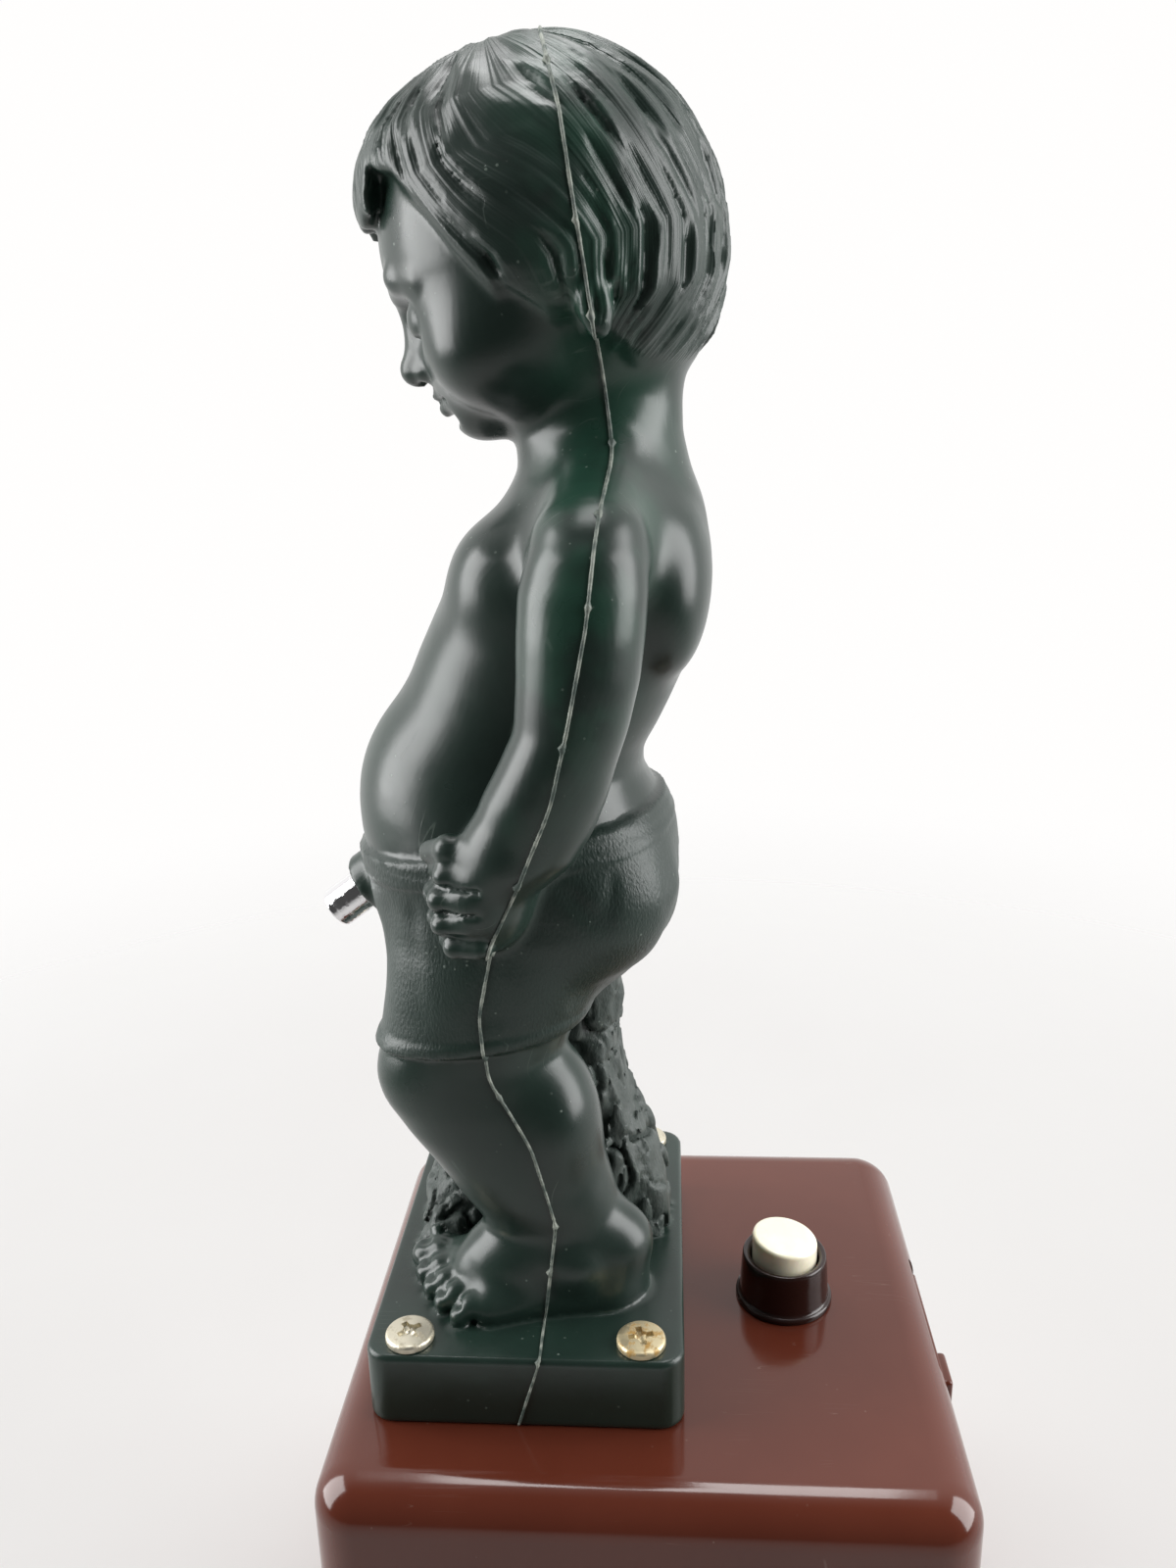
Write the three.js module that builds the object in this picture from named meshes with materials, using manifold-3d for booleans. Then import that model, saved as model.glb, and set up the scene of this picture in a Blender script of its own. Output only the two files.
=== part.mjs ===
// A battery-driven drink dispenser: a moulded cherub figure on a plinth, screwed to a box with a push button.
// Press the button and a small pump lifts the drink from a tank in the box, up one leg, to the spout.
//
// Frame: millimetres, +Z up, the figure faces -Y, its left side is +X.
// The origin is the middle of the box's footprint, on the table that its rubber feet stand on.

import * as THREE from "three";
import { mergeVertices } from "three/addons/utils/BufferGeometryUtils.js";
import Module from "manifold-3d";

const wasm = await Module();
wasm.setup();

// ---------------------------------------------------------------- driving dimensions

const GAP = 0.3; // clearance between neighbouring pieces
const REST_GAP = 0.1; // clearance under a piece that lies on a flat face

// The names of the four corners, in the order that the loops over them take.
const CORNERS = ["right_front", "right_rear", "left_front", "left_rear"];

const BOX = { width: 98, depth: 105, top: 72, bottom: 2.5, wall: 2.5, corner: 8, edge: 7 };
const PLATE = { thickness: 2.5 };
const POST = { x: 42, y: 46, radius: 3.5, bore: 1.7 };
const FOOT_PAD = { x: 34, y: 38, radius: 6 };

const PLINTH = { width: 67, depth: 52, height: 13.2, y: -19.4, corner: 4, edge: 0.8, roof: 2.5 };
const SCREW = { x: 29, y: 19, head: 4, headHeight: 1.8, shank: 1.9, length: 20, boss: 4.2 };
const SHELL_WALL = 2;
const TRUNKS = { lift: 0.9 }; // how far the swimming trunks stand out from the skin

const BUTTON = { y: 25.4, radius: 5.9, top: 12.6, slope: 7 };
const COLLAR = { outer: 8, inner: 6.3, height: 9.2, flange: 8.8 };
const BUTTON_SPRING = { low: 65.1, height: 5.6, radius: 4, turns: 3 };
const CELL_SPRING = { depth: 1.5, wide: 7, narrow: 3.6, turns: 2.5 };
const WIRE = { spring: 0.35, lead: 0.6 }; // radii
const SWITCH = { fixedLeaf: 58.9, movingLeaf: 62.6, leaf: 0.4, shelf: 57.4, halfWidth: 3 };

const SPOUT = { y: -27.4, z: 68.4, pitch: 36, radius: 3.5, bore: 1.9, out: 7.4, back: 13, sleeve: 5.7 };

const DOOR = { halfWidth: 35.6, sill: 8.4, head: 62, tongue: 13.5, tongueTop: 66.4, pinZ: 10, pin: 0.6 };
const NOTCH = { halfWidth: 15, top: 69 };
const LUG = { width: 5, depth: 3.2, halfHeight: 2.4 }; // what the door's pin runs in
const THUMB_TAB = { left: 7, right: 14.2, low: 61 };
const RIB = { width: 2, lefts: [-4.6, 31], low: 16, high: 56 }; // stiffeners on the door's inside

const CELL = { radius: 13.1, length: 50, x: -21, front: -0.8, lowZ: 19.9, highZ: 46.3 };
const CRADLE = { left: -36, right: -6, front: -5, back: 48.6, top: 61, wall: 1.5 };
const TANK = { left: -3, right: 37, front: -41, back: 36, bottom: 5.4, top: 57, wall: 1.5 };
const NECK = { x: 17, z: 42, radius: 8.5, bore: 7, length: 7 };
const PUMP = { x: -25, y: -32, radius: 13, bottom: 5.4, top: 16, chamber: 8.5, port: 11, inlet: 2.4 };
const MOTOR = { radius: 10.4, bottom: 20, top: 46 };
const HOSE = { radius: 2.5, stub: 1.6, legX: 14.4 };

const boxInnerX = BOX.width / 2 - BOX.wall;
const boxInnerY = BOX.depth / 2 - BOX.wall;
const roof = BOX.top - BOX.wall;
const plateTop = BOX.bottom + PLATE.thickness;
const doorY = BOX.depth / 2 - BOX.wall / 2;

// ---------------------------------------------------------------- materials

const finish = (color, roughness, metalness = 0, extra = {}) =>
  new THREE.MeshStandardMaterial({ color, roughness, metalness, ...extra });

const figureGreen = finish(0x1d2a26, 0.42);
const chrome = finish(0xe6e6e6, 0.06, 1);
const nickel = finish(0xb9b29a, 0.35, 1);
const brownGloss = finish(0x4a231b, 0.2);
const brownDark = finish(0x2a1210, 0.25);
const cream = finish(0xefe6c0, 0.3);
const blackRubber = finish(0x161616, 0.85);
const clearPoly = finish(0xdfe4e2, 0.3, 0, { transparent: true, opacity: 0.55 });
const whitePlastic = finish(0xe7e5dc, 0.4);
const blackPlastic = finish(0x1c1c1e, 0.5);
const springSteel = finish(0xa9abae, 0.3, 1);
const brass = finish(0xb58a3c, 0.35, 1);
const cellJacket = finish(0x8c2f24, 0.4);
const redWire = finish(0xa51f1c, 0.5);
const blueWire = finish(0x27408f, 0.5);

// ---------------------------------------------------------------- making and joining solids

// A closed three.js geometry as a manifold-3d solid.
function solid(geometry) {
  const bare = new THREE.BufferGeometry();
  bare.setAttribute("position", geometry.getAttribute("position"));
  bare.setIndex(geometry.index);
  const merged = mergeVertices(bare, 1e-3);
  const corners = merged.index.array;
  const kept = [];
  for (let i = 0; i < corners.length; i += 3) {
    const [a, b, c] = corners.slice(i, i + 3);
    if (a !== b && b !== c && c !== a) kept.push(a, b, c);
  }
  return new wasm.Manifold(
    new wasm.Mesh({
      numProp: 3,
      vertProperties: merged.attributes.position.array,
      triVerts: new Uint32Array(kept),
    }),
  );
}

// A manifold-3d solid as a three.js geometry.
function geometryOf(made) {
  const mesh = made.getMesh();
  const positions = new Float32Array(mesh.numVert * 3);
  for (let i = 0; i < mesh.numVert; i++) {
    positions.set(mesh.vertProperties.subarray(i * mesh.numProp, i * mesh.numProp + 3), i * 3);
  }
  const geometry = new THREE.BufferGeometry();
  geometry.setAttribute("position", new THREE.BufferAttribute(positions, 3));
  geometry.setIndex(new THREE.BufferAttribute(mesh.triVerts, 1));
  geometry.computeVertexNormals();
  return geometry;
}

const join = (...pieces) => pieces.reduce((whole, piece) => whole.add(piece));
const cut = (whole, ...tools) => tools.reduce((left, tool) => left.subtract(tool), whole);

const product = new THREE.Group();
const figure = new THREE.Group();
figure.position.set(0, PLINTH.y, BOX.top + PLINTH.height);
product.add(figure);

function place(parent, name, made, material) {
  const mesh = new THREE.Mesh(geometryOf(made), material);
  mesh.name = name;
  parent.add(mesh);
}

// ---------------------------------------------------------------- basic shapes

function block([x0, x1], [y0, y1], [z0, z1]) {
  const geometry = new THREE.BoxGeometry(x1 - x0, y1 - y0, z1 - z0);
  geometry.translate((x0 + x1) / 2, (y0 + y1) / 2, (z0 + z1) / 2);
  return solid(geometry);
}

// A solid of revolution about the Z axis through (x, y), from a closed profile of [radius, z] points.
function turned(profile, x = 0, y = 0, segments = 24) {
  const points = profile.map(([radius, z]) => new THREE.Vector2(radius, z));
  const geometry = new THREE.LatheGeometry(points, segments);
  geometry.rotateX(Math.PI / 2);
  geometry.translate(x, y, 0);
  return solid(geometry);
}

const rod = (radius, z0, z1, x = 0, y = 0, segments = 24) =>
  turned([[0, z0], [radius, z0], [radius, z1], [0, z1]], x, y, segments);

const washer = (inner, outer, z0, z1, x = 0, y = 0, segments = 24) =>
  turned([[inner, z0], [outer, z0], [outer, z1], [inner, z1], [inner, z0]], x, y, segments);

// A rod along the X axis, through y and z.
function rodX(radius, x0, x1, y, z, segments = 16) {
  const geometry = new THREE.CylinderGeometry(radius, radius, x1 - x0, segments);
  geometry.rotateZ(Math.PI / 2);
  geometry.translate((x0 + x1) / 2, y, z);
  return solid(geometry);
}

// A rod along the Y axis, through x and z.
function rodY(radius, y0, y1, x, z, segments = 24) {
  const geometry = new THREE.CylinderGeometry(radius, radius, y1 - y0, segments);
  geometry.translate(x, (y0 + y1) / 2, z);
  return solid(geometry);
}

function ellipsoid([x, y, z], [rx, ry, rz], segments = 14) {
  const geometry = new THREE.SphereGeometry(1, segments, Math.round(segments * 0.65));
  geometry.scale(rx, ry, rz);
  geometry.translate(x, y, z);
  return solid(geometry);
}

// A skin over closed rings of points, each ring anticlockwise seen from the end that the rings run towards.
function loft(rings) {
  const count = rings[0].length;
  const positions = rings.flat();
  const faces = [];
  for (let r = 0; r + 1 < rings.length; r++) {
    for (let j = 0; j < count; j++) {
      const next = (j + 1) % count;
      const [a, b] = [r * count + j, r * count + next];
      const [c, d] = [b + count, a + count];
      faces.push(a, b, c, a, c, d);
    }
  }
  const last = (rings.length - 1) * count;
  for (let j = 1; j + 1 < count; j++) {
    faces.push(0, j + 1, j, last, last + j, last + j + 1);
  }
  const geometry = new THREE.BufferGeometry();
  geometry.setAttribute("position", new THREE.Float32BufferAttribute(positions.flat(), 3));
  geometry.setIndex(faces);
  return solid(geometry);
}

// The points of a rectangle with round corners, anticlockwise seen from above.
function roundedOutline(halfX, halfY, corner, z, x, y, steps) {
  const points = [];
  for (let quarter = 0; quarter < 4; quarter++) {
    const sx = quarter === 0 || quarter === 3 ? 1 : -1;
    const sy = quarter < 2 ? 1 : -1;
    for (let s = 0; s <= steps; s++) {
      const turn = ((quarter + s / steps) * Math.PI) / 2;
      points.push([
        x + sx * (halfX - corner) + corner * Math.cos(turn),
        y + sy * (halfY - corner) + corner * Math.sin(turn),
        z,
      ]);
    }
  }
  return points;
}

// A block with round upright corners and a round top edge.
function softBlock(halfX, halfY, corner, z0, z1, edge, x = 0, y = 0, edgeSteps = 4, steps = 4) {
  const rings = [roundedOutline(halfX, halfY, corner, z0, x, y, steps)];
  for (let s = 0; s <= edgeSteps; s++) {
    const turn = (s / edgeSteps) * (Math.PI / 2);
    const inset = edge * (1 - Math.cos(turn));
    const reach = Math.max(corner - inset, 0.2);
    const z = z1 - edge + edge * Math.sin(turn);
    rings.push(roundedOutline(halfX - inset, halfY - inset, reach, z, x, y, steps));
  }
  return loft(rings);
}

// A round or many-sided cord along a smooth curve through the points.
function tube(points, radius, sides, steps) {
  const path = new THREE.CatmullRomCurve3(points.map((p) => new THREE.Vector3(...p)));
  const section = new THREE.Shape();
  section.absarc(0, 0, radius, 0, Math.PI * 2);
  const geometry = new THREE.ExtrudeGeometry(section, {
    steps,
    extrudePath: path,
    curveSegments: sides / 2,
  });
  return solid(geometry);
}

// ------------------------------------------------ the figure's body, in the figure's own frame
// Sections are [height, front, back, half width, middle x].
// The frame's origin is on top of the plinth, in its middle.

const TORSO = [
  [54, -17, 10, 14, 0],
  [60, -22, 18, 20, 0],
  [67, -25, 23.4, 23, 0],
  [74, -26, 24.3, 24, 0],
  [81, -26.4, 23.8, 23.6, 0],
  [87, -26, 20.8, 22.4, 0],
  [93, -24, 19.2, 21.4, 0],
  [99, -21, 22, 20.8, 0],
  [107, -17, 26.4, 21.6, 0],
  [116, -12.6, 29.4, 23, 0],
  [124, -8.4, 30.4, 23.6, 0],
  [130, -3.8, 29.4, 21, 0],
  [135, 0, 27.6, 14.5, 0],
  [140, 1, 26.4, 11.6, 0],
  [147, 1, 26, 11.4, 0],
];

const HEAD = [
  [142.4, -5, 20, 8, 0],
  [145, -11, 25, 13, 0],
  [149.5, -14.5, 28.4, 17.6, 0],
  [155, -16.4, 30, 20.4, 0],
  [162, -17.4, 31.4, 22.6, 0],
  [169, -18.6, 32, 23.6, 0],
  [176, -20, 31.8, 23.8, 0],
  [182, -18.4, 30.2, 22.8, 0],
  [188, -13, 26.4, 19.4, 0],
  [193, -5.6, 19.6, 13, 0],
  [196.7, 3, 10, 4, 0],
];

const LEG = [
  [2, -5, 19, 7.4, 14.6],
  [9, -5.4, 17.4, 7.6, 14.4],
  [14, -7.4, 16.2, 8.2, 14.2],
  [20, -11.6, 14.4, 9.4, 14],
  [26, -16, 13, 10.2, 13.6],
  [32, -21.2, 11.8, 10.6, 13.2],
  [39, -23.7, 9.6, 10.8, 12.8],
  [46, -23.1, 6.6, 11, 12.4],
  [53, -22.2, 9.8, 11.8, 12],
  [60, -21.2, 15, 12.4, 11.4],
  [68, -19, 20, 12, 11],
];

const ARM = [
  [80, -8.4, 7.6, 6, 26.6],
  [86, -6.4, 11.6, 6.8, 27.4],
  [92, -3.6, 14.6, 7.4, 28.2],
  [98, -0.4, 16.6, 7.6, 28.8],
  [105, 2.2, 18.6, 7.8, 29.2],
  [113, 3, 20.4, 8, 29.4],
  [121, 3.4, 21.2, 8.2, 28.8],
  [127, 4.6, 20.6, 8, 27.4],
  [132, 8, 18, 6, 25],
];

// The rock that the figure leans on, behind its legs.
const ROCK = [
  [-1, 2, 25.4, 19, -1],
  [6, 3, 24.6, 17.4, -1],
  [14, 4, 22.8, 15.6, -1],
  [23, 3, 19.2, 13.4, 0],
  [33, 1, 15.6, 11, 0],
  [44, 0, 14.8, 9, 0],
  [56, 0, 14.6, 8, 0],
];

// Foot sections are [y, middle x, half width, height], from the heel forward.
const FOOT = [
  [19.2, 15, 3.4, 5.4],
  [16, 15, 6, 9],
  [9, 15, 7, 11.4],
  [0, 15.6, 7.6, 10.6],
  [-8, 16.6, 8.4, 8.2],
  [-15, 17.4, 9.2, 6],
  [-19.4, 16, 6.6, 4.4],
];

// Where the two mould halves meet, as [height, y]:
// over the plinth's side, then up the leg, the arm, the neck and the head.
const SEAM = [
  [-16, -2],
  [0, 2.9],
  [17, 5.2],
  [32, 1.7],
  [44, -4.6],
  [56, -5.6],
  [70, -2.4],
  [79, 1.8],
  [94, 7.8],
  [106, 10.8],
  [119, 13.2],
  [131, 14.8],
  [139, 16.2],
  [150, 15],
  [168, 12.4],
  [182, 10.2],
  [192, 7.6],
  [200, 5.6],
];

const SIDES = { trunk: 14, limb: 10, hollow: 8 };

function bodyLoft(sections, sides, side = 1, wall = 0) {
  return loft(
    sections.map(([z, front, back, half, middle]) => {
      const ring = [];
      for (let j = 0; j < sides; j++) {
        const turn = (j / sides) * Math.PI * 2;
        ring.push([
          side * middle + (half - wall) * Math.cos(turn),
          (front + back) / 2 + ((back - front) / 2 - wall) * Math.sin(turn),
          z,
        ]);
      }
      return ring;
    }),
  );
}

// A foot is a loft from the heel towards the toes.
function footLoft(side) {
  return loft(
    FOOT.map(([y, middle, half, height]) => {
      const ring = [];
      for (let j = 0; j < SIDES.limb; j++) {
        const turn = (j / SIDES.limb) * Math.PI * 2;
        const lift = Math.sin(turn);
        ring.push([side * middle + half * Math.cos(turn), y, lift > 0 ? lift * height : lift]);
      }
      return ring;
    }),
  );
}

const spoutTurn = new THREE.Matrix4()
  .makeTranslation(0, SPOUT.y, SPOUT.z)
  .multiply(new THREE.Matrix4().makeRotationX(THREE.MathUtils.degToRad(90 + SPOUT.pitch)));

// A solid of revolution on the spout's axis.
// Its z runs forwards and down, from the middle of the sleeve's face.
function onSpout(profile) {
  const points = profile.map(([radius, z]) => new THREE.Vector2(radius, z));
  const geometry = new THREE.LatheGeometry(points, 20);
  geometry.rotateX(Math.PI / 2);
  geometry.applyMatrix4(spoutTurn);
  return solid(geometry);
}

const spoutRod = (radius, z0, z1) => onSpout([[0, z0], [radius, z0], [radius, z1], [0, z1]]);

// Everything in front of the seam, or everything behind it.
function sideOfSeam(front) {
  const reach = front ? -70 : 70;
  const shift = front ? -GAP / 2 : GAP / 2;
  const outline = SEAM.map(([z, y]) => new THREE.Vector2(y + shift, z));
  outline.push(new THREE.Vector2(reach, SEAM.at(-1)[0]), new THREE.Vector2(reach, SEAM[0][0]));
  const geometry = new THREE.ExtrudeGeometry(new THREE.Shape(outline), {
    depth: 140,
    bevelEnabled: false,
  });
  geometry.translate(0, 0, -70);
  const toSideView = new THREE.Matrix4().makeBasis(
    new THREE.Vector3(0, 1, 0),
    new THREE.Vector3(0, 0, 1),
    new THREE.Vector3(1, 0, 0),
  );
  geometry.applyMatrix4(toSideView);
  return solid(geometry);
}

function figureOuter() {
  const half = [PLINTH.width / 2, PLINTH.depth / 2];
  const pieces = [
    bodyLoft(TORSO, SIDES.trunk),
    bodyLoft(HEAD, SIDES.trunk),
    bodyLoft(ROCK, SIDES.limb),
    softBlock(...half, PLINTH.corner, -PLINTH.height, 0, PLINTH.edge, 0, 0, 2, 3),
    spoutRod(SPOUT.sleeve, -12, 0),
    ellipsoid([-11, -13, 1], [13, 8.5, 7]),
    ellipsoid([0, -17.4, 157.2], [2.8, 3.4, 3.6], 8),
    ellipsoid([0, -12.4, 146.8], [6.4, 4, 3.8], 8),
    bodyLoft(TORSO.slice(1, 6), SIDES.trunk, 1, -TRUNKS.lift),
  ];
  for (const side of [-1, 1]) {
    pieces.push(
      bodyLoft(LEG, SIDES.limb, side),
      footLoft(side),
      bodyLoft(ARM, SIDES.limb, side),
      bodyLoft(LEG.slice(7), SIDES.limb, side, -TRUNKS.lift),
      ellipsoid([side * 20, 15.4, 127], [12, 10, 7.6], 12),
      ellipsoid([side * 25.4, -4.2, 76], [6.6, 7.6, 9], 12),
      ellipsoid([side * 22.6, 13.2, 156.6], [3, 4.4, 6.4], 8),
      ellipsoid([side * 9, -10.6, 152], [7, 5.4, 6.6], 8),
    );
  }
  return join(...pieces);
}

// A hollow takes half of the sections, because its shape matters less.
const everyOther = (sections) => sections.filter((_, i) => i % 2 === 0);

function figureInner() {
  const half = [PLINTH.width / 2 - SHELL_WALL, PLINTH.depth / 2 - SHELL_WALL];
  const hollow = [
    bodyLoft(everyOther(TORSO.slice(2)), SIDES.hollow, 1, SHELL_WALL),
    bodyLoft(everyOther(HEAD.slice(1)), SIDES.hollow, 1, SHELL_WALL),
    bodyLoft(everyOther(ROCK.slice(1)), SIDES.hollow, 1, SHELL_WALL),
    softBlock(...half, PLINTH.corner - 2, -PLINTH.height - 1, -PLINTH.roof, 0.5, 0, 0, 1, 2),
  ];
  for (const side of [-1, 1]) {
    hollow.push(
      bodyLoft(everyOther(LEG), SIDES.hollow, side, SHELL_WALL),
      rod(4, -PLINTH.height, 12, side * HOSE.legX, 6, 12),
    );
  }
  const bosses = screwPlaces().map(([x, y]) => rod(SCREW.boss, -PLINTH.height - 2, 0, x, y, 16));
  return cut(join(...hollow), ...bosses);
}

function screwPlaces() {
  return [-1, 1].flatMap((side) => [-1, 1].map((end) => [side * SCREW.x, end * SCREW.y]));
}

function makeFigure() {
  const screwHoles = screwPlaces().map(([x, y]) =>
    rod(SCREW.shank + GAP, -PLINTH.height - 1, 1, x, y, 16),
  );
  const shell = cut(
    figureOuter(),
    figureInner(),
    spoutRod(SPOUT.radius + GAP, -SPOUT.back - GAP, 20),
    ...screwHoles,
  );
  place(figure, "figure_front_shell", shell.intersect(sideOfSeam(true)), figureGreen);
  place(figure, "figure_rear_shell", shell.intersect(sideOfSeam(false)), figureGreen);

  const { radius, bore, out, back } = SPOUT;
  const lip = 0.4;
  const tubeProfile = [
    [bore, -back],
    [radius, -back],
    [radius, out - lip],
    [radius - lip, out],
    [bore, out],
    [bore, -back],
  ];
  place(figure, "spout_tube", onSpout(tubeProfile), chrome);
}

// A cross-recessed screw that holds the plinth to the box.
function plinthScrew(x, y) {
  const { head, headHeight, shank, length } = SCREW;
  const edge = 0.7;
  const bodyOfScrew = turned(
    [
      [0, -length],
      [shank * 0.4, -length],
      [shank, -length + 3],
      [shank, REST_GAP],
      [head, REST_GAP],
      [head, headHeight - edge],
      [head - edge, headHeight],
      [0, headHeight],
    ],
    x,
    y,
    16,
  );
  const slot = (halfX, halfY) =>
    block([x - halfX, x + halfX], [y - halfY, y + halfY], [headHeight - 1.1, headHeight + 1]);
  return cut(bodyOfScrew, join(slot(2, 0.5), slot(0.5, 2)));
}

function makePlinthScrews() {
  screwPlaces().forEach(([x, y], i) => {
    place(figure, `plinth_screw_${CORNERS[i]}`, plinthScrew(x, y), nickel);
  });
}

// ---------------------------------------------------------------- the box

function makeCasing() {
  const { width, depth, top, bottom, wall, corner, edge } = BOX;
  const outer = softBlock(width / 2, depth / 2, corner, bottom, top, edge);
  const inner = softBlock(boxInnerX, boxInnerY, corner - wall, bottom - 1, roof, edge - wall);
  const plinthBosses = screwPlaces().map(([x, y]) =>
    rod(4.5, roof - 6.5, roof + 0.5, x, y + PLINTH.y, 16),
  );
  const posts = [-1, 1].flatMap((sx) =>
    [-1, 1].map((sy) => rod(POST.radius, plateTop + REST_GAP, roof, sx * POST.x, sy * POST.y, 16)),
  );
  const { halfWidth, sill, head, pinZ, pin } = DOOR;
  const opening = halfWidth + GAP + 0.1;
  const lugs = [-1, 1].map((side) => {
    const ends = [side * opening, side * (opening + LUG.width)].sort((a, b) => a - b);
    return block(ends, [doorY - LUG.depth, doorY], [pinZ - LUG.halfHeight, pinZ + LUG.halfHeight]);
  });
  const shell = join(cut(outer, inner), ...plinthBosses, ...posts, ...lugs);
  const holes = screwPlaces().map(([x, y]) =>
    rod(SCREW.shank + GAP, roof - 8, top + 1, x, y + PLINTH.y, 16),
  );
  for (const sx of [-1, 1]) {
    for (const sy of [-1, 1]) {
      holes.push(rod(POST.bore, bottom, plateTop + 14, sx * POST.x, sy * POST.y, 12));
    }
  }
  place(
    product,
    "base_casing",
    cut(
      shell,
      ...holes,
      rod(COLLAR.outer + GAP, roof - 1, top + 1, 0, BUTTON.y, 28),
      rod(HOSE.radius + 1.5, roof - 1, top + 1, HOSE.legX, PLINTH.y + 6, 16),
      block([-opening, opening], [doorY - 2, depth], [sill, head]),
      block([-NOTCH.halfWidth, NOTCH.halfWidth], [doorY - 2, depth], [head - 1, NOTCH.top]),
      rodX(pin + 0.15, -opening - 3, opening + 3, doorY, pinZ, 12),
    ),
    brownGloss,
  );
}

function makeBottom() {
  const { bottom, corner, wall } = BOX;
  const half = [boxInnerX - GAP, boxInnerY - GAP];
  const plate = softBlock(...half, corner - wall, bottom, plateTop, 0.4, 0, 0, 1, 3);
  const holes = [];
  for (const sx of [-1, 1]) {
    for (const sy of [-1, 1]) holes.push([sx * POST.x, sy * POST.y]);
  }
  place(
    product,
    "bottom_plate",
    cut(
      plate,
      ...holes.map(([x, y]) => rod(1.8, bottom - 1, plateTop + 1, x, y, 12)),
      ...holes.map(([x, y]) => rod(3.3, bottom - 1, bottom + 1.5, x, y, 16)),
    ),
    brownDark,
  );
  holes.forEach(([x, y], i) => {
    const screw = turned(
      [
        [0, bottom + 0.2],
        [2.9, bottom + 0.2],
        [2.9, bottom + 1.4],
        [1.4, bottom + 1.4],
        [1.4, bottom + 11],
        [0, bottom + 13],
      ],
      x,
      y,
      12,
    );
    place(product, `bottom_screw_${CORNERS[i]}`, screw, springSteel);
    const pad = turned(
      [
        [0, 0],
        [FOOT_PAD.radius - 0.8, 0],
        [FOOT_PAD.radius, 0.8],
        [FOOT_PAD.radius, bottom - REST_GAP],
        [0, bottom - REST_GAP],
      ],
      Math.sign(x) * FOOT_PAD.x,
      Math.sign(y) * FOOT_PAD.y,
      20,
    );
    place(product, `rubber_foot_${CORNERS[i]}`, pad, blackRubber);
  });
}

// The push button slides in its collar; a coil spring under its rim lifts it.
function makeButton() {
  const { y, radius, top, slope } = BUTTON;
  const collar = turned(
    [
      [COLLAR.inner, roof - 3],
      [COLLAR.outer, roof - 3],
      [COLLAR.outer, BOX.top + REST_GAP],
      [COLLAR.flange, BOX.top + REST_GAP],
      [COLLAR.flange, BOX.top + 1],
      [COLLAR.outer, BOX.top + 1.4],
      [COLLAR.outer - 0.4, BOX.top + COLLAR.height - 0.6],
      [COLLAR.outer - 1, BOX.top + COLLAR.height],
      [COLLAR.inner, BOX.top + COLLAR.height],
      [COLLAR.inner, roof - 3],
    ],
    0,
    y,
    28,
  );
  place(product, "button_collar", collar, brownDark);

  const stem = join(rod(radius, roof + 2, BOX.top + top + 2, 0, y, 28), rod(2, 63.4, 76, 0, y, 16));
  const rise = THREE.MathUtils.degToRad(slope);
  const slice = new THREE.BoxGeometry(30, 30, 10);
  slice.translate(0, 0, 5);
  slice.rotateX(-rise);
  slice.translate(0, y, BOX.top + top);
  place(product, "push_button", cut(stem, solid(slice)), cream);

  const coil = BUTTON_SPRING;
  const steps = 30;
  const points = [];
  for (let i = 0; i <= steps; i++) {
    const turn = (i / steps) * coil.turns * Math.PI * 2;
    const z = coil.low + (i / steps) * coil.height;
    points.push([coil.radius * Math.cos(turn), y + coil.radius * Math.sin(turn), z]);
  }
  place(product, "button_spring", tube(points, WIRE.spring, 6, steps), springSteel);
}

// The button's stem bends the upper leaf down on to the lower one.
function makeSwitch() {
  const { y } = BUTTON;
  const { fixedLeaf, movingLeaf, shelf, halfWidth } = SWITCH;
  const leaf = (z, tip) => block([tip, 18], [y - halfWidth, y + halfWidth], [z, z + SWITCH.leaf]);
  const seat = (z, gap) =>
    block([11, 17], [y - halfWidth - GAP, y + halfWidth + GAP], [z - gap, z + SWITCH.leaf + gap]);
  const bracket = join(
    block([12, 16], [y - 5, y + 5], [shelf, roof - REST_GAP]),
    block([-5, 12.5], [y - 5, y + 5], [shelf, shelf + 1.2]),
  );
  const slots = [seat(fixedLeaf, GAP), seat(movingLeaf, 0.5)];
  place(product, "switch_bracket", cut(bracket, ...slots), blackPlastic);
  place(product, "switch_leaf_fixed", leaf(fixedLeaf, -5), brass);
  place(product, "switch_leaf_moving", leaf(movingLeaf, -3), brass);
  const springSeat = join(
    washer(2.4, 5.6, 64.2, 64.7, 0, y, 20),
    block([-13.6, -5], [y - halfWidth, y + halfWidth], [64.2, 64.7]),
    block([-14, -13], [y - halfWidth, y + halfWidth], [64.2, roof - REST_GAP]),
  );
  place(product, "spring_seat", springSeat, springSteel);
}

// ---------------------------------------------------------------- the rear door

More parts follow.
